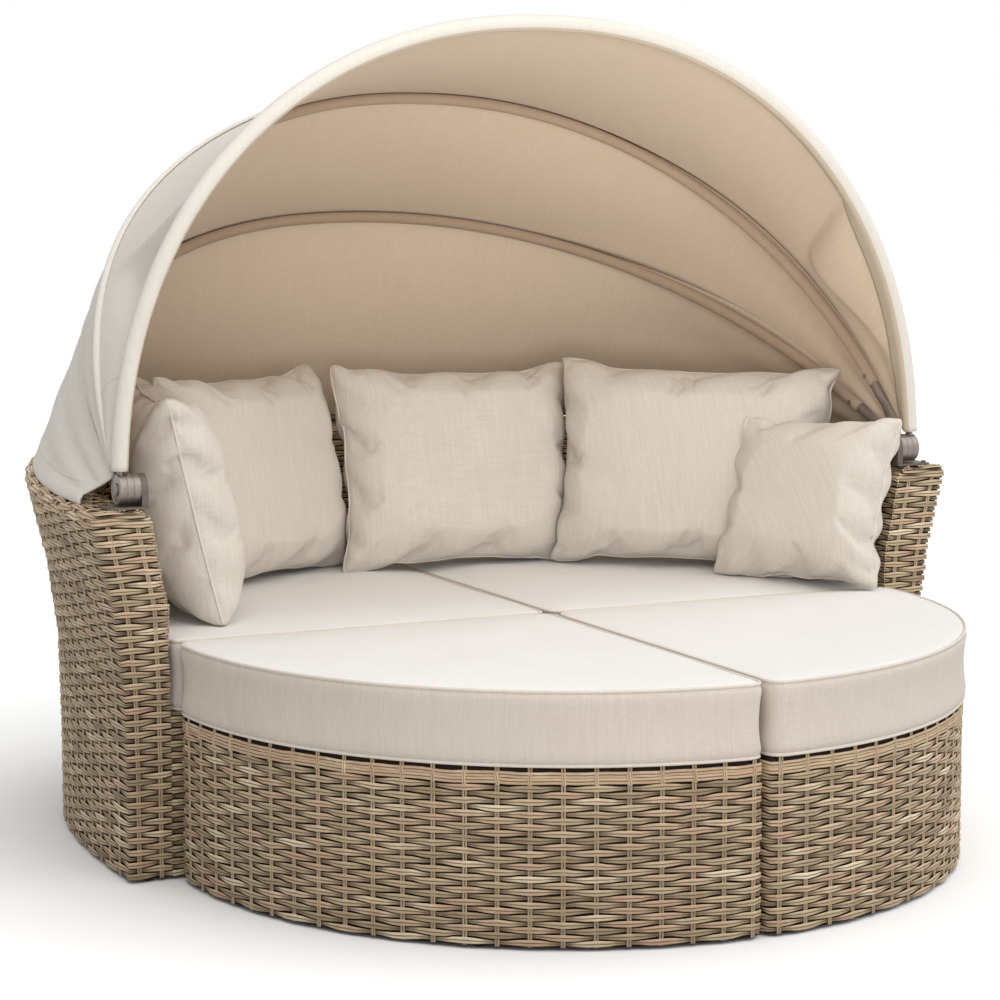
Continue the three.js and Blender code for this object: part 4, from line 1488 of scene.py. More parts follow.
cushions = {
    "seat_cushion_front_right": (front_outline, "front_cushion_right"),
    "seat_cushion_front_left": (mirrored(front_outline), "front_cushion_left"),
    "seat_cushion_rear_right": (back_outline, "sofa"),
    "seat_cushion_rear_left": (mirrored(back_outline), "sofa"),
}
for seed, (node, (outline, body)) in enumerate(cushions.items()):
    shell = cushion_shell(outline, 20 + 3 * seed)
    cushion = shell.object(f"{node}_cover", [seat_cloth, piping_cloth, side_cloth])
    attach(cushion, body)
    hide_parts(node)
    print(cushion.name, len(cushion.data.polygons), "faces")

# %% [markdown]
# ## Pillows
# A scatter pillow is two squares of cloth sewn together over loose filling. The filling pushes the
# faces out, the seam draws in between the corners, and the cloth gathers in small folds along it.

# %% Shape of a pillow
pillow_sink = 0.014
arm_pillow_inset = 0.172
pull_share = 0.02
fat_power = 0.40
flat_share = 0.62
welt_radius = 0.0024
fold_share = 0.18
pillow_voxel = 0.006
pillow_pressure = 4.0
pillow_cap = 0.028
small_pillow_shift = 0.012
big = (0.528, 0.430, 0.185)
wide = (0.580, 0.430, 0.185)
small = (0.370, 0.350, 0.155)
beside_arm = arm_inner_half - arm_pillow_inset

# Each pillow's size, the middle of its lower edge, and its turns: yaw, lean and roll.
pillow_places = {
    "pillow_left_back": (big, -0.46 * arm_inner_half, 0.614, 34, 12, 1),
    "pillow_right_back": (wide, 0.66 * arm_inner_half, 0.385, -40, 10, 1),
    "pillow_centre": (big, 0.117 * arm_inner_half, 0.62, -2, 14, 1),
    "pillow_left_arm": (big, -beside_arm, 0.373, 79, 13, 0),
    "pillow_small": (small, beside_arm + small_pillow_shift, 0.092, -64, 20, -2),
}


def pillow_turn(yaw, lean, roll):
    """The turn of a pillow: roll, then lean back, then yaw on the seat."""
    lean_by = Matrix.Rotation(-math.radians(lean), 3, "X")
    roll_by = Matrix.Rotation(math.radians(roll), 3, "Y")
    yaw_by = Matrix.Rotation(math.radians(yaw), 3, "Z")
    return np.array(yaw_by @ lean_by @ roll_by)


def pillow_face(size, steps, side, fullness=1.0, phase=0.0):
    """One side of a pillow, upright over the middle of its lower edge."""
    width, height, thickness = size
    u, v = np.meshgrid(np.linspace(-1, 1, steps + 1), np.linspace(-1, 1, steps + 1), indexing="ij")
    uu, vv = np.sin(u * math.pi / 2), np.sin(v * math.pi / 2)
    fat = ((1 - uu**4) * (1 - vv**4)) ** fat_power
    folds = np.sin(19 * v + 5 * u + phase) * np.abs(uu) ** 4
    folds += np.sin(17 * u - 4 * v + phase) * np.abs(vv) ** 4
    x = width / 2 * uu * (1 - pull_share * (1 - vv**2))
    y = side * thickness / 2 * fullness * fat * (1 + fold_share * folds)
    z = height / 2 * (1 + vv * (1 - pull_share * (1 - uu**2)))
    return np.stack([x, y, z], axis=2)


def pillow_edge(size, count=260):
    """The sewn edge of a pillow, once round."""
    face = pillow_face(size, 40, 1)
    edge = np.concatenate([face[:, 0], face[-1, 1:], face[-2::-1, -1], face[0, -2:0:-1]])
    return closed_even(edge, count)[:-1]


def pillow_form(size, phase, steps=60):
    """A slack pillow: both sides, joined along the sewn edge."""
    shell = Shell()
    for side in (1, -1):
        grid = pillow_face(size, steps, side, flat_share, phase)
        faces = grid_faces(steps + 1, steps + 1)
        if side > 0:
            faces = [face[::-1] for face in faces]
        shell.add(grid.reshape(-1, 3), faces)
    return shell


print("pillows:", ", ".join(pillow_places))

# %% [markdown]
# ## Filling a pillow
# A sewn cover takes its shape from the filling that presses on it. The slack form is remeshed into
# even faces and swells in a cloth simulation without gravity. No point may move further than a cap,
# so that the pillow keeps to the space of its solid. Its piping is laid on afterwards.

# %% Swelling by simulation
swell_frames = 20


def bare_object(name, points, faces):
    mesh = bpy.data.meshes.new(name)
    mesh.from_pydata(np.asarray(points).tolist(), [], faces)
    made = bpy.data.objects.new(name, mesh)
    scene.collection.objects.link(made)
    return made


def mesh_arrays(mesh):
    points = np.empty(len(mesh.vertices) * 3)
    mesh.vertices.foreach_get("co", points)
    return points.reshape(-1, 3), [list(face.vertices) for face in mesh.polygons]


def remeshed(points, faces, voxel):
    """The same form in even faces, its doubled edges joined first."""
    made = bare_object("slack_form", points, faces)
    weld = made.modifiers.new("weld", "WELD")
    weld.merge_threshold = voxel / 50
    remesh = made.modifiers.new("even", "REMESH")
    remesh.mode = "VOXEL"
    remesh.voxel_size = voxel
    mesh = evaluated_mesh(made)
    bpy.data.objects.remove(made)
    return mesh_arrays(mesh)


def swollen(points, faces, voxel, pressure, cap):
    """Points and faces of a form after its filling has pushed it out."""
    start, faces = remeshed(points, faces, voxel)
    made = bare_object("filling", start, faces)
    cloth = made.modifiers.new("swell", "CLOTH")
    cloth.settings.quality = 4
    cloth.settings.use_pressure = True
    cloth.settings.uniform_pressure_force = pressure
    cloth.settings.effector_weights.gravity = 0
    cloth.collision_settings.use_collision = False
    cloth.point_cache.frame_start = 1
    cloth.point_cache.frame_end = swell_frames
    for number in range(1, swell_frames + 1):
        scene.frame_set(number)
    full, _ = mesh_arrays(evaluated_mesh(made))
    made.modifiers.clear()
    bpy.data.objects.remove(made)
    scene.frame_set(1)
    move = full - start
    far = np.linalg.norm(move, axis=1, keepdims=True)
    return start + move * np.minimum(1, cap / np.maximum(far, 1e-9)), faces


def seam_on(points, faces, edge, centre, reach=1.3):
    """The edge line laid on a swollen form: each point is met by a ray from outside."""
    tree = BVHTree.FromPolygons(points.tolist(), faces)
    found = []
    for point in edge:
        outside = centre + (point - centre) * reach
        hit = tree.ray_cast(Vector(outside), Vector(centre - outside))[0]
        found.append(hit if hit is not None else point)
    found = np.array([tuple(point) for point in found])
    for _ in range(3):
        found = (np.roll(found, 1, axis=0) + 2 * found + np.roll(found, -1, axis=0)) / 4
    return found


print("pillows swell for", swell_frames, "frames")

# %% Pillows that give way to each other
forward = (0.0, -1.0, 0.0)
backward = (0.0, 1.0, 0.0)
gives_way = {
    "pillow_centre": {"pillow_left_back": forward, "pillow_right_back": backward},
    "pillow_left_arm": {"pillow_left_back": forward},
    "pillow_small": {"pillow_right_back": (-0.5, -0.87, 0.0)},
}
contact_gap = 0.0008


def neighbours_of(count, faces):
    pairs = np.array([pair for face in faces for pair in zip(face, face[1:] + face[:1])])
    degree = np.bincount(pairs[:, 0], minlength=count) + np.bincount(pairs[:, 1], minlength=count)

    def mean_of(values):
        total = np.bincount(pairs[:, 0], values[pairs[:, 1]], count)
        total += np.bincount(pairs[:, 1], values[pairs[:, 0]], count)
        return total / np.maximum(degree, 1)

    return mean_of


def pushed_out(points, faces, other, direction, rounds=60):
    """How far each point moves along a direction to leave another pillow, smoothed round about."""
    needed = np.zeros(len(points))
    way = Vector(direction).normalized()
    for index, point in enumerate(points):
        spot = Vector(point)
        near, normal, _, distance = other.find_nearest(spot)
        if near is None or (spot - near).dot(normal) > 0:
            continue
        hit, _, _, reach = other.ray_cast(spot, way)
        if hit is not None:
            needed[index] = reach + contact_gap
    mean_of = neighbours_of(len(points), faces)
    spread = needed.copy()
    for _ in range(rounds):
        spread = np.maximum(needed, mean_of(spread) * 0.995)
    return spread[:, None] * np.array(way)


def rested(points, floor):
    """Keeps a pillow above the seat, flat where it stands on it."""
    points[:, 2] = np.maximum(points[:, 2], floor)
    return points


standing = {}
forms = {}
for number, (node, (size, across, back, yaw, lean, roll)) in enumerate(pillow_places.items()):
    kind = (size, number % 2)
    if kind not in forms:
        form = pillow_form(size, 1.7 * number)
        slack = np.concatenate(form.points)
        forms[kind] = swollen(slack, form.faces, pillow_voxel, pillow_pressure, pillow_cap)
    points, faces = forms[kind]
    edge = seam_on(points, faces, pillow_edge(size), np.array([0, 0, size[1] / 2]))
    turn = pillow_turn(yaw, lean, roll)
    foot = np.array([across, back * inner_depth, seat_height - pillow_sink])
    points = points @ turn.T + foot
    edge = edge @ turn.T + foot
    for other, direction in gives_way.get(node, {}).items():
        move = pushed_out(points, faces, standing[other], direction)
        own = BVHTree.FromPolygons(points.tolist(), faces)
        nearest = [faces[own.find_nearest(Vector(point))[2]][0] for point in edge]
        edge = edge + move[nearest]
        points = points + move
    points = rested(points, seat_height + touch_gap)
    edge = rested(edge, seat_height + touch_gap + welt_radius)
    standing[node] = BVHTree.FromPolygons(points.tolist(), faces)
    shell = Shell().add(points, faces)
    shell.add(*tube(edge, welt_radius, 8, closed=True), 1)
    pillow = shell.object(f"{node}_cover", [pillow_cloth, piping_cloth])
    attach(pillow, "small_pillow" if node == "pillow_small" else "sofa")
    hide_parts(node)
    print(pillow.name, len(pillow.data.polygons), "faces")

# %% [markdown]
# ## Canopy bows
# Each bow is a bent aluminium tube whose flattened ends turn on the hinge pins. The bows nest in each
# other when the canopy folds back. Only their lower ends and the hinge drums show, because cloth
# sleeves cover the rest.

# %% Bows
bow_tube = 0.019
bow_nest = 0.008
bow_inset = 0.006
leg_flat_end = 0.095
leg_round_start = 0.130
leg_flat_thickness = 0.009
leg_flat_width = 0.020
knuckle_inset = 0.042
knuckle_pitch = 0.012
knuckle_diameter = 0.052
knuckle_width = 0.0117
pin_diameter = 0.010
ring_radius = 0.0012
drum_edge = 0.0004
bow_half = arm_outer_half - bow_inset


class Bow:
    def __init__(self, half, height, power, tilt, place):
        self.half = half
        self.height = height
        self.power = power
        self.tilt = math.radians(tilt)
        self.place = place

    def plane(self, x, reach, behind=0.0):
        y = hinge_back + reach * math.sin(self.tilt) + behind * math.cos(self.tilt)
        z = hinge_height + reach * math.cos(self.tilt) - behind * math.sin(self.tilt)
        return np.stack(np.broadcast_arrays(x, y, z), axis=-1)

    def point(self, share, reach):
        """A point of the bow; share runs from its right end to its left, which start at a reach."""
        start = math.asin((reach / self.height) ** (self.power / 2))
        angle = start + np.asarray(share) * (math.pi - 2 * start)
        x = self.half * signed_power(np.cos(angle), 2 / self.power)
        return self.plane(x, self.height * np.sin(angle) ** (2 / self.power))


bows = {
    "front": Bow(bow_half, 0.787, 2.15, 0, 3),
    "middle": Bow(bow_half - bow_nest, 0.870, 2.15, 40, 2),
    "rear": Bow(bow_half - 2 * bow_nest, 0.965, 2.12, 63.5, 1),
}


print("bows:", ", ".join(bows))

# %% Shapes of the bows
def knuckle_at(place):
    return arm_outer_half - knuckle_inset + place * knuckle_pitch


def drum(shell, centre, diameter, width, sides=48, finish=0, edge=drum_edge):
    """A disc along x with rounded edges."""
    radius = diameter / 2
    profile = [(0, -width / 2), (radius - edge, -width / 2)]
    profile += [
        (radius - edge + edge * math.sin(turn), -width / 2 + edge * (1 - math.cos(turn)))
        for turn in np.linspace(0, math.pi / 2, 4)[1:]
    ]
    profile += [(reach, -along) for reach, along in profile[::-1]]
    turns = np.linspace(0, 2 * math.pi, sides, endpoint=False)
    points = [
        (centre[0] + along, centre[1] + reach * math.cos(turn), centre[2] + reach * math.sin(turn))
        for reach, along in profile[1:-1]
        for turn in turns
    ]
    shell.add(points, [face[::-1] for face in capped_faces(len(profile) - 2, sides)], finish)


def bow_leg(bow, side, sides=16, steps=10):
    """The pressed end of a bow: flat at its knuckle, round where the tube begins."""
    end = bow.point(0.0, leg_round_start)
    rings = []
    knuckle = knuckle_at(bow.place)
    turns = np.linspace(0, 2 * math.pi, sides, endpoint=False)
    stations = [(pin_diameter, 0.0), (leg_flat_end, 0.0)]
    for step in range(1, steps + 1):
        reach = leg_flat_end + (leg_round_start - leg_flat_end) * step / steps
        stations.append((reach, step / steps))
    for reach, share in stations:
        ease = share * share * (3 - 2 * share)
        thick = leg_flat_thickness + (bow_tube - leg_flat_thickness) * ease
        wide = leg_flat_width + (bow_tube - leg_flat_width) * ease
        x = knuckle + (end[0] - knuckle) * ease
        across = side * (x + thick / 2 * np.cos(turns))
        rings.append(bow.plane(across, reach, wide / 2 * np.sin(turns)))
    faces = capped_faces(len(rings), sides)
    if side > 0:
        faces = [face[::-1] for face in faces]
    return np.concatenate(rings), faces


def bow_shell(bow):
    shell = Shell()
    shell.add(*tube(bow.point(np.linspace(0, 1, 121), leg_round_start), bow_tube / 2, 16))
    for side in (1, -1):
        shell.add(*bow_leg(bow, side))
        centre = (side * knuckle_at(bow.place), hinge_back, hinge_height)
        drum(shell, centre, knuckle_diameter, knuckle_width, finish=1)
        if bow is bows["front"]:
            face = side * (knuckle_at(bow.place) + knuckle_width / 2)
            turns = np.linspace(0, 2 * math.pi, 48, endpoint=False)
            y = hinge_back + (knuckle_diameter / 2 - ring_radius) * np.cos(turns)
            z = hinge_height + (knuckle_diameter / 2 - ring_radius) * np.sin(turns)
            ring = np.stack([np.full(len(turns), face), y, z], axis=1)
            shell.add(*tube(ring, ring_radius, 8, closed=True), 1)
    return shell


for name, bow in bows.items():
    piece = bow_shell(bow).object(f"bow_{name}", [bow_metal, hinge_metal])
    piece.data.set_sharp_from_angle(angle=math.radians(40))
    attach(piece, f"canopy_{name}")
    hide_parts(f"canopy_bow_{name}")
    print(piece.name, len(piece.data.polygons), "faces")

# %% [markdown]
# ## Canopy cloth
# The canopy is one cloth in three panels. Between two bows the cloth hangs a little inwards, and over
# a bow it turns. The front edge is sewn round the front bow as a pocket, and the rear edge is a hem
# that lies on the rim of the backrest. Each panel is a grid of points from bow to bow.

# %% Lines that the cloth lies on
cloth_thickness = 0.0025
cloth_rest = 0.0028
cloth_side_start = 0.046
flap_start = 0.031
pocket_depth = 0.030
panel_seam = 0.0016
hem_tube = 0.016
hem_clearance = 0.0015
hem_inset = 0.030
hem_start = 0.108
sag_share = 0.04
ridge_share = 1.5
hem_rise_share = 1.6
ridge_swell = 0.010
middle_swell = 0.014
rear_swell = 0.012
rear_ridge_swell = 0.020
swell_reach = 0.36
columns = 300

bow_rest = bow_tube / 2 + cloth_rest + cloth_thickness / 2
hem_rest = hem_tube / 2 + hem_clearance + cloth_thickness / 2
hinge_point = np.array([0, hinge_back, hinge_height])
shares = np.linspace(0, 1, columns + 1)
from_end = np.minimum(shares, 1 - shares)
every_column = np.arange(columns + 1)


def hem_point(share):
    depth = back_depth + outer_flare - hem_inset
    start = math.asin((hem_start / depth) ** (plan_power / 2))
    angle = start + np.asarray(share) * (math.pi - 2 * start)
    x = (arm_outer_half + outer_flare - hem_inset) * signed_power(np.cos(angle), 2 / plan_power)
    y = arm_face_back + depth * np.sin(angle) ** (2 / plan_power)
    return np.stack([x, y, arm_top(y) + hem_tube / 2 + touch_gap], axis=-1)


def bow_line(name, start=cloth_side_start):
    return lambda share: bows[name].point(share, start)


def direction_of(line):
    small = 1 / (2 * columns)
    return unit(line(np.minimum(shares + small, 1)) - line(np.maximum(shares - small, 0)))


def square_to(direction, along):
    return unit(direction - along * np.sum(direction * along, axis=1, keepdims=True))


def from_hinge(points):
    return unit(points - hinge_point)


def side_swell(amount):
    """Cloth stands out beside the seat, and not at the hinges or over the top."""
    return (amount * np.sin(math.pi * np.clip(from_end / swell_reach, 0, 1)) ** 2)[:, None]


def ridge(line, neighbours, swell):
    """Where the cloth lies on a bow that it crosses, pushed out by the lines beside it."""
    points = line(shares)
    away = from_hinge(points) * ridge_share
    for other in neighbours:
        away = away - unit(other(shares) - points)
    return points + square_to(away, direction_of(line)) * (bow_rest + side_swell(swell))


def span(start, end, steps, swell=0.0):
    """Cloth from one line to the next, hanging a little inwards between them."""
    reach = np.linalg.norm(end - start, axis=1, keepdims=True)
    outward = from_hinge((start + end) / 2)
    gap = panel_seam / 2 / reach
    rows = []
    for step in np.linspace(0, 1, steps + 1):
        hang_in = sag_share * reach - side_swell(swell)
        place = start + (end - start) * (gap + step * (1 - 2 * gap))
        rows.append(place - outward * 4 * hang_in * step * (1 - step))
    return np.array(rows)


front_line, middle_line, rear_line = bow_line("front", flap_start), bow_line("middle"), bow_line("rear")
middle_ridge = ridge(middle_line, [front_line, rear_line], ridge_swell)
rear_ridge = ridge(rear_line, [middle_line, hem_point], rear_ridge_swell)
print("cloth columns:", columns + 1)

# %% [markdown]
# ## Folds in the cloth
# The bows pull the cloth tight from the front edge down to the next bow, and under that line it falls
# in. Near the hinges the bows come together, so the cloth fans out in soft folds. Both are worked out
# as moves along the cloth's own outward direction, which keeps its edges where they are sewn.

# %% Creases and fans
crease_depth = 0.060
crease_start = 0.197
crease_end = 0.145
crease_width = 0.020
crease_fade = 0.085
crest_height = 0.005
folded_angle = 12
fold_room = 0.028
crest_width = 0.012
fan_depth = 0.006
fan_reach = 0.12
fan_hem = 0.006


def along_rows(grid):
    return np.linspace(0, 1, len(grid))[:, None]


def outward_of(grid):
    return unit(np.cross(np.gradient(grid, axis=0), np.gradient(grid, axis=1)))


def folded_room(grid):
    """0 to 1: how well the cloth clears the bow at its last row when the canopy is folded."""
    reach = np.hypot(grid[:, :, 1] - hinge_back, grid[:, :, 2] - hinge_height)
    room = (1 - along_rows(grid)) * reach * math.radians(folded_angle)
    return np.clip(room / fold_room, 0, 1) ** 3


def creased(grid):
    """Cloth that falls in under a line pulled tight between two bows, the same on both sides."""
    along = along_rows(grid)
    line = crease_start + (crease_end - crease_start) * along
    below = np.clip(line - from_end, 0, None)
    hollow = (1 - np.exp(-below / crease_width)) * np.exp(-below / crease_fade)
    crest = np.exp(-np.abs(line - from_end) / crest_width)
    move = (crest_height * crest - crease_depth * hollow) * np.sin(math.pi * along) ** 0.8
    return grid + outward_of(grid) * (move * folded_room(grid))[:, :, None]


def fanned(grid, waves, turn):
    """Soft folds that run up from the hinges."""
    along = along_rows(grid)
    wave = np.sin(2 * math.pi * (waves * along + 3.1 * from_end + turn))
    fade = np.exp(-from_end / fan_reach) * (1 - np.exp(-from_end / fan_hem)) * np.sin(math.pi * along)
    return grid + outward_of(grid) * (fan_depth * wave * fade)[:, :, None]


print("creases up to", crease_depth, "m deep")

# %% Panels
front_steps = 26
flap_steps = 4
wrap_steps = 12
rear_steps = 26
pocket_limit_share = 0.8


def pocket_place(reach):
    """The row of the outer cloth at which the pocket's seam lies."""
    return front_steps * np.minimum(pocket_depth / reach, pocket_limit_share)


def front_panel():
    centre = front_line(shares)
    along = direction_of(front_line)
    normal = unit(np.cross(unit(middle_line(shares) - centre), along))
    normal = normal * np.sign(np.sum(normal * from_hinge(centre), axis=1, keepdims=True))
    ahead = unit(np.cross(normal, along))
    ahead = ahead * -np.sign(ahead[:, 1:2])
    start = centre + normal * bow_rest
    reach = np.linalg.norm(middle_ridge - start, axis=1, keepdims=True)
    outer = fanned(creased(span(start, middle_ridge, front_steps)), 1.2, 0.3)
    place = pocket_place(reach)
    row = np.floor(place[:, 0]).astype(int)
    above, below = outer[row, every_column], outer[row + 1, every_column]
    flap = above + (below - above) * (place - row[:, None])
    flap = flap - normal * 2 * (cloth_thickness + pocket_depth * sag_share)
    wrap = [
        centre + normal * bow_rest * math.cos(turn) + ahead * bow_rest * math.sin(turn)
        for turn in np.linspace(math.pi, 0, wrap_steps + 1)
    ]
    inner = [flap + (wrap[0] - flap) * step for step in np.linspace(0, 1, flap_steps + 1)[:-1]]
    return np.array(inner + wrap + list(outer[1:])), reach[:, 0]


def middle_panel(steps=18):
    return fanned(span(middle_ridge, rear_ridge, steps, middle_swell), 1.6, 0.1)


def rear_panel():
    rail = hem_point(shares)
    sideways = rail - hinge_point
    sideways[:, 2] = 0
    outward = square_to(sideways, direction_of(hem_point))
    upward = unit(outward + np.array([0, 0, hem_rise_share]))
    top = rail + upward * hem_rest
    side = rail + outward * hem_rest
    foot = side + np.array([0, 0, cloth_thickness / 2 - hem_tube / 2])
    cloth = fanned(span(rear_ridge, top, rear_steps, rear_swell), 2.2, 0.6)
    reach = np.linalg.norm(top - rear_ridge, axis=1)
    return np.array(list(cloth) + [side, (side + foot) / 2, foot]), reach, top


def fold_weights(grid, first, last):
    """Share of the turn between two lines at each point, by its angle round the hinge line."""

    def turned(points):
        return np.arctan2(points[..., 1] - hinge_back, points[..., 2] - hinge_height)

    start, end = turned(first), turned(last)
    return np.clip((turned(grid) - start) / (end - start), 0, 1)


print("panels can be laid")

# %% Places on a panel
class Panel:
    """A panel's points, with each point's outward direction and share of the fold."""

    def __init__(self, grid, first, last):
        self.grid = grid
        self.outward = outward_of(grid)
        self.turned = fold_weights(grid, first[None], last[None])

    def at(self, rows, across):
        """The same at places between the grid's points; across counts its columns."""
        rows, across = np.broadcast_arrays(np.asarray(rows, float), np.asarray(across, float))
        i = np.clip(np.floor(rows).astype(int), 0, self.grid.shape[0] - 2)
        j = np.clip(np.floor(across).astype(int), 0, self.grid.shape[1] - 2)
        down, right = rows - i, across - j

        def pick(values):
            by_row = down[:, None] if values.ndim == 3 else down
            by_column = right[:, None] if values.ndim == 3 else right
            near = values[i, j] * (1 - by_row) + values[i + 1, j] * by_row
            far = values[i, j + 1] * (1 - by_row) + values[i + 1, j + 1] * by_row
            return near * (1 - by_column) + far * by_column

        return pick(self.grid), unit(pick(self.outward)), pick(self.turned)


print("places on a panel can be found")

# %% Tapes and seams
# Points across a strip, as shares of its width, and up from the cloth, as shares of its height.
strip_section = ((-0.5, -0.8), (-0.42, 0.8), (0.0, 1.0), (0.42, 0.8), (0.5, -0.8), (0.0, -1.0))
round_section = (
    (-0.5, -0.4),
    (-0.42, 0.3),
    (-0.25, 0.8),
    (0.0, 1.0),
    (0.25, 0.8),
    (0.42, 0.3),
    (0.5, -0.4),
    (0.0, -0.15),
)
seam_width = 0.0022
seam_height = 0.0009


def strip(points, outward, width, height, lift, section=strip_section):
    """Points and faces of a strip sewn on the cloth along a line."""
    ahead = unit(np.gradient(points, axis=0))
    across = np.cross(outward, ahead)
    rings = [points + across * width * x + outward * (lift + height * z) for x, z in section]
    sides = len(section)
    rings = np.stack(rings, axis=1).reshape(-1, 3)
    return rings, [face[::-1] for face in capped_faces(len(points), sides)]


def seam_on_panel(panel, rows, across):
    """A fine raised seam on the outside of a panel, with its share of the fold."""
    points, outward, turned = panel.at(rows, across)
    rings, faces = strip(points, outward, seam_width, seam_height, cloth_thickness / 2)
    return rings, faces, np.repeat(turned, len(strip_section))


def blended(piece):
    """Bakes a piece's place into its mesh."""
    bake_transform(piece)


def flat_size(grid):
    """Width and length of the cloth before it was hung, and its area."""
    across = np.linalg.norm(np.diff(grid, axis=1), axis=2)
    along = np.linalg.norm(np.diff(grid, axis=0), axis=2)
    area = float(np.sum((across[:-1] + across[1:]) / 2 * (along[:, :-1] + along[:, 1:]) / 2))
    return (float(across.sum(axis=1).max()), float(along.sum(axis=0).max())), area


def hang(node, panel, seams=(), banded=0):
    """Makes a panel with its seams, in place of the solid model's cloth."""
    name = node.replace("cloth_", "") + "_panel"
    shell = sheet_shell(Shell(), panel.grid, cloth_thickness)
    # The pocket's inner rows take the darker band cloth.
    band_faces = banded * columns
    shell.finishes[:band_faces] = [2] * band_faces
    for points, faces, shares_of_turn in seams:
        shell.add(points, faces, 3)
    piece = shell.object(name, [canopy_outside, canopy_inside, band_cloth, thread_cloth])
    blended(piece)
    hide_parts(node)
    flat, area = flat_size(panel.grid)
    print(name, "flat", round(flat[0], 3), "x", round(flat[1], 3), "area", round(area, 3))
    return piece


print("tapes and seams ready")

# %% [markdown]
# ## Stitches
# Rows of stitches run along the pocket, the hem and both edges of each tape. One Geometry Nodes tree
# sets a small spindle of thread at every few millimetres of a line, so the stitch length is one input.

# %% The tree that sews
stitch_pitch = 0.0062
stitch_length = 0.0044
stitch_width = 0.0010
stitch_lift_share = 0.6


stitch_choices = {
    "Pitch": ("Float", stitch_pitch),
    "Length": ("Float", stitch_length),
    "Width": ("Float", stitch_width),
}
bead_shape = {"Segments": 5, "Rings": 4, "Radius": 0.5}


def stitch_tree():
    graph = LineTree("sewn_stitches", "Stitches", stitch_choices)
    given = graph.given
    upright = graph.upright_curves(given["Lines"], graph.named("outward", "FLOAT_VECTOR"))
    inputs = {"Curve": upright, "Length": given["Pitch"]}
    spots = graph.node("GeometryNodeCurveToPoints", {"mode": "LENGTH"}, inputs, "Points")
    turn = Value(graph, graph.pick(spots.socket.node.outputs, "Rotation"))
    bead = graph.node("GeometryNodeMeshUVSphere", None, bead_shape, "Mesh")
    inputs = {"X": given["Width"], "Y": given["Width"], "Z": given["Length"]}
    inputs = {"Geometry": bead, "Scale": graph.node("ShaderNodeCombineXYZ", None, inputs)}
    stitch = graph.node("GeometryNodeTransform", None, inputs)
    inputs = {"Points": spots, "Instance": stitch, "Rotation": turn}
    return graph.finished(graph.node("GeometryNodeInstanceOnPoints", None, inputs))


sewn_stitches = stitch_tree()


def sewn(name, lines):
    """Stitches along lines, each given as points, outward directions and shares of a fold."""
    thread = Lines("turned")
    for points, outward, turned in lines:
        thread.add(points, outward, turned)
    made = thread.object(name, sewn_stitches, Finish=thread_cloth)
    return made


def sewn_on(name, panel, rows, across):
    """Stitches on a panel, lifted a little above the cloth under them."""
    points, outward, turned = panel.at(rows, across)
    lifted = points + outward * cloth_thickness * stitch_lift_share
    made = sewn(name, [(lifted, outward, turned)])
    values = np.empty(len(made.data.vertices), np.float32)
    made.data.attributes["turned"].data.foreach_get("value", values)
    blended(made)
    return made


print("stitch inputs:", ", ".join(sewn_stitches.inputs))

# %% Sleeves and tapes on the bows
sleeve_start = 0.150
sleeve_radius = 0.0108
sleeve_drop = 0.0009
tape_width = 0.022
tape_height = 0.0068
flat_tape_height = 0.0010
tape_taper = 0.07
tape_end_share = 0.4
lining_strip_share = 0.7
lining_strip_height = 0.0006
join_share = 0.138
join_radius = 0.0007
tape_seam_share = 0.47


def sleeve(name):
    """A tube of cloth that holds a bow to the lining, slack on its inner side."""
    path = bows[name].point(np.linspace(0, 1, 161), sleeve_start)
    shell = Shell().add(*tube(path - from_hinge(path) * sleeve_drop, sleeve_radius, 18))
    # Its cloth is painted darker than the lining, as the shade under the canopy.
    piece = shell.object(f"sleeve_{name}", [sleeve_cloth])
    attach(piece, f"canopy_{name}")
    return piece


def ridge_tape(name, points, line, height, section, finish):
    """The tape over the seam that crosses a bow, sewn down along both edges."""
    ahead = unit(np.gradient(points, axis=0))
    outward = square_to(unit(points - line(shares)), ahead)
    across = np.cross(outward, ahead)
    taper = np.clip(from_end / tape_taper, 0, 1)[:, None]
    width = tape_width * (tape_end_share + (1 - tape_end_share) * taper)
    rise = flat_tape_height + (height - flat_tape_height) * taper
    surface = cloth_thickness / 2
    shell = Shell().add(*strip(points, outward, width, rise, surface, section))
    inner_width = width * lining_strip_share
    shell.add(*strip(points, -outward, inner_width, lining_strip_height, surface), 2)
    if section is round_section:
        for column in (round(join_share * columns), columns - round(join_share * columns)):
            arc = [
                points[column] + across[column] * tape_width * x
                + outward[column] * (surface + height * z)
                for x, z in section[:-1]
            ]
            shell.add(*tube(arc, join_radius, 6), 1)
    piece = shell.object(f"tape_{name}", [finish, thread_cloth, canopy_inside])
    lifted = points + outward * (surface + flat_tape_height)
    seam = across * width * tape_seam_share
    edges = [(lifted + seam * side, outward, np.ones(len(points))) for side in (-1, 1)]
    stitches = sewn(f"stitches_{name}", edges)
    for made in (piece, stitches):
        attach(made, f"canopy_{name}")
    return [piece, stitches]


print("tapes", tape_width, "m wide")

# %% Hanging the panels
gusset_front = 0.072
gusset_rear = 0.050
hem_seam_depth = 0.026
hem_seam_limit_share = 0.6
wrap_points = 6
slope_points = 24
front_rows = flap_steps + wrap_steps
pocket_band_rows = flap_steps + 3

front_grid, front_reach = front_panel()
rear_grid, rear_reach, hem_top = rear_panel()
front = Panel(front_grid, middle_line(shares), front_line(shares))
middle = Panel(middle_panel(), rear_line(shares), middle_line(shares))
rear = Panel(rear_grid, hem_top, rear_line(shares))

pocket_rows = front_rows + pocket_place(front_reach)
hem_rows = rear_steps * (1 - np.minimum(hem_seam_depth / rear_reach, hem_seam_limit_share))


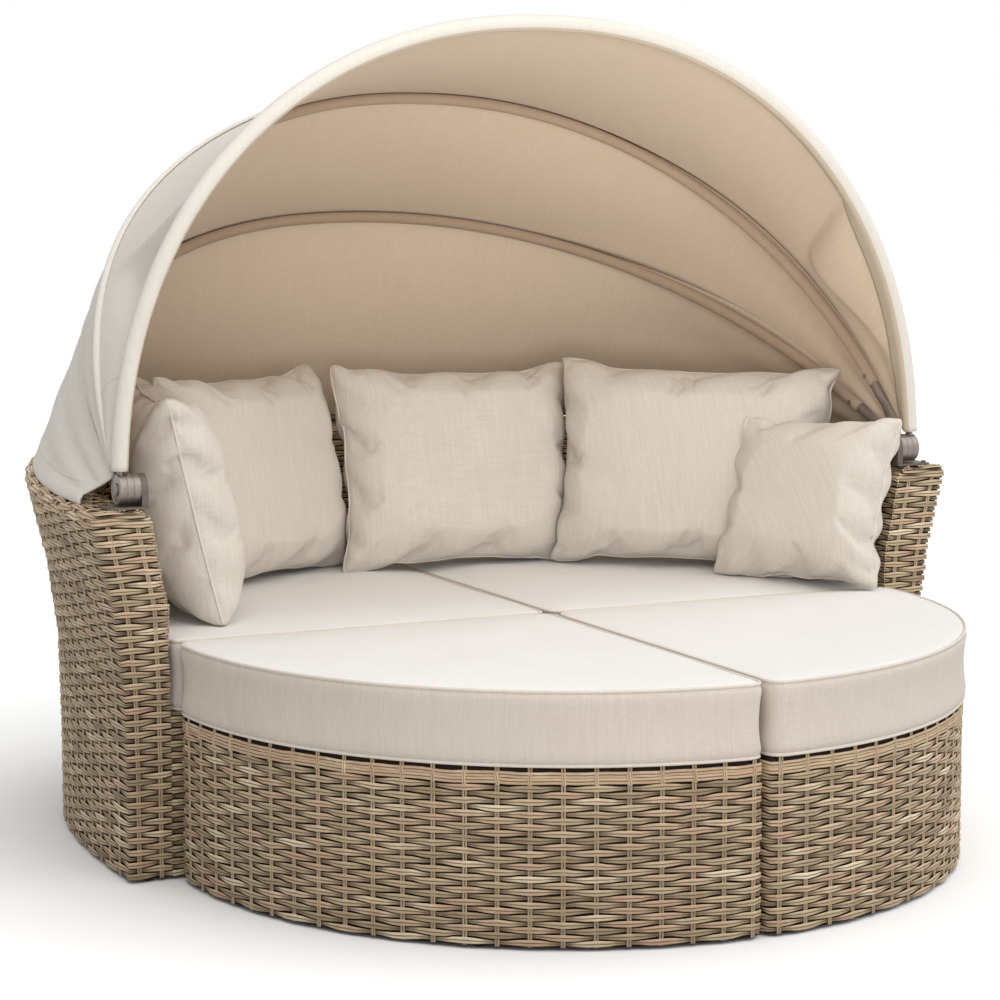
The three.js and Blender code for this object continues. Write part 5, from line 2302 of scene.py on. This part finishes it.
def gusset_seam(side):
    """The seam of the patch at the front panel's foot: over the edge, then down to the next bow."""
    wrap = np.linspace(flap_steps + wrap_steps / 2, front_rows, wrap_points)
    slope = np.linspace(front_rows, front_rows + front_steps, slope_points)[1:]
    rows = np.concatenate([wrap, slope])
    slope_shares = np.linspace(gusset_front, gusset_rear, slope_points)[1:]
    across = np.concatenate([np.full(wrap_points, gusset_front), slope_shares]) * columns
    return seam_on_panel(front, rows, across if side > 0 else columns - across)


# The middle tape's lighter cloth is a painted highlight on the ridge.
middle_tape = ridge_tape("middle", middle_ridge, middle_line, tape_height, round_section, tape_cloth)
rear_tape = ridge_tape("rear", rear_ridge, rear_line, flat_tape_height, strip_section, canopy_outside)
front_pieces = [sleeve("middle"), *middle_tape]
front_pieces.append(sewn_on("stitches_pocket", front, pocket_rows, every_column))
rear_pieces = [sleeve("rear"), *rear_tape]
rear_pieces.append(sewn_on("stitches_hem", rear, hem_rows, every_column))

front_seams = [seam_on_panel(front, pocket_rows, every_column), gusset_seam(1), gusset_seam(-1)]
hang("canopy_cloth_front", front, front_seams, pocket_band_rows)
hang("canopy_cloth_middle", middle)
rear_seams = [seam_on_panel(rear, hem_rows, every_column)]
hang("canopy_cloth_rear", rear, rear_seams, 0)

# %% [markdown]
# ## Floor and light
# A pale floor and a white surround keep the eye on the daybed. The world gives an even, soft light
# and a wide sun adds shape. The floor is white only to the camera and in reflections, so that it
# doesn't throw more light on the object than a pale floor would.

# %% Floor
floor_size = 40
floor_mesh = bpy.data.meshes.new("floor")
half_floor = floor_size / 2
corners = [(x * half_floor, y * half_floor, 0) for x, y in ((-1, -1), (1, -1), (1, 1), (-1, 1))]
floor_mesh.from_pydata(corners, [], [[0, 1, 2, 3]])
floor = bpy.data.objects.new("floor", floor_mesh)
scene.collection.objects.link(floor)


def seen_directly(graph):
    """1 for rays from the camera, from gloss and from glass, else 0."""
    outputs = graph.node("ShaderNodeLightPath").socket.node.outputs
    kinds = ("Camera", "Glossy", "Transmission")
    direct, glossy, through = (Value(graph, outputs[f"Is {kind} Ray"]) for kind in kinds)
    return direct.math("MAXIMUM", direct, glossy.math("MAXIMUM", glossy, through))


def floor_finish():
    finish = Finish("floor_finish", Roughness=0.9, Specular_IOR_Level=0.1)
    cloud = finish.noise(finish.place, 0.6, 2.0)
    pale = finish.mix(cloud, colour(208, 207, 205), colour(214, 213, 211))
    return finish.surface(Base_Color=finish.mix(seen_directly(finish), pale, (1.0, 1.0, 1.0, 1.0)))


floor_mesh.materials.append(floor_finish())
print("floor", floor_size, "m wide")

# %% World and lamps
world_low = 0.34
world_top = 0.78
world_left = 0.74
world_right = 1.22
sun_strength = 1.65
sun_softness = 80
sun_turn = (27, 0, 32)
fill_power = 5.5
fill_size = 1.2
fill_spread = 56
fill_place = (-0.95, -2.6, 1.15)
fill_aim = (0.30, 0.25, 1.30)

world = bpy.data.worlds.new("studio")
world.use_nodes = True
world.node_tree.nodes.clear()
studio = Graph(world.node_tree)
around = studio.node("ShaderNodeTexCoord", None, None, "Generated")
across, behind, height = studio.split(around)
steps_up = {"Value": height, "From Min": -0.2, "From Max": 1.0}
overhead = studio.node("ShaderNodeMapRange", None, steps_up)
steps_across = {"Value": across, "From Min": -1.0, "To Min": world_left, "To Max": world_right}
sideways = studio.node("ShaderNodeMapRange", None, steps_across)
low_light, top_light = (world_low,) * 3 + (1,), (world_top,) * 3 + (1,)
soft_light = {"Vector": studio.mix(overhead, low_light, top_light), "Scale": sideways}
soft_light = studio.vector("SCALE", soft_light)
surround = studio.mix(seen_directly(studio), soft_light, (1, 1, 1, 1))
background = studio.node("ShaderNodeBackground", None, {"Color": surround, "Strength": 1.0})
studio.node("ShaderNodeOutputWorld", None, {"Surface": background})
scene.world = world


def lamp(name, kind, strength):
    made = bpy.data.objects.new(name, bpy.data.lights.new(name, kind))
    made.data.energy = strength
    scene.collection.objects.link(made)
    return made


sun = lamp("sun", "SUN", sun_strength)
sun.data.angle = math.radians(sun_softness)
sun.rotation_euler = tuple(math.radians(turn) for turn in sun_turn)

fill = lamp("fill", "AREA", fill_power)
fill.data.size = fill_size
fill.data.spread = math.radians(fill_spread)
fill.location = fill_place
fill.rotation_euler = (Vector(fill_aim) - Vector(fill_place)).to_track_quat("-Z", "Y").to_euler()
print("lights ready")
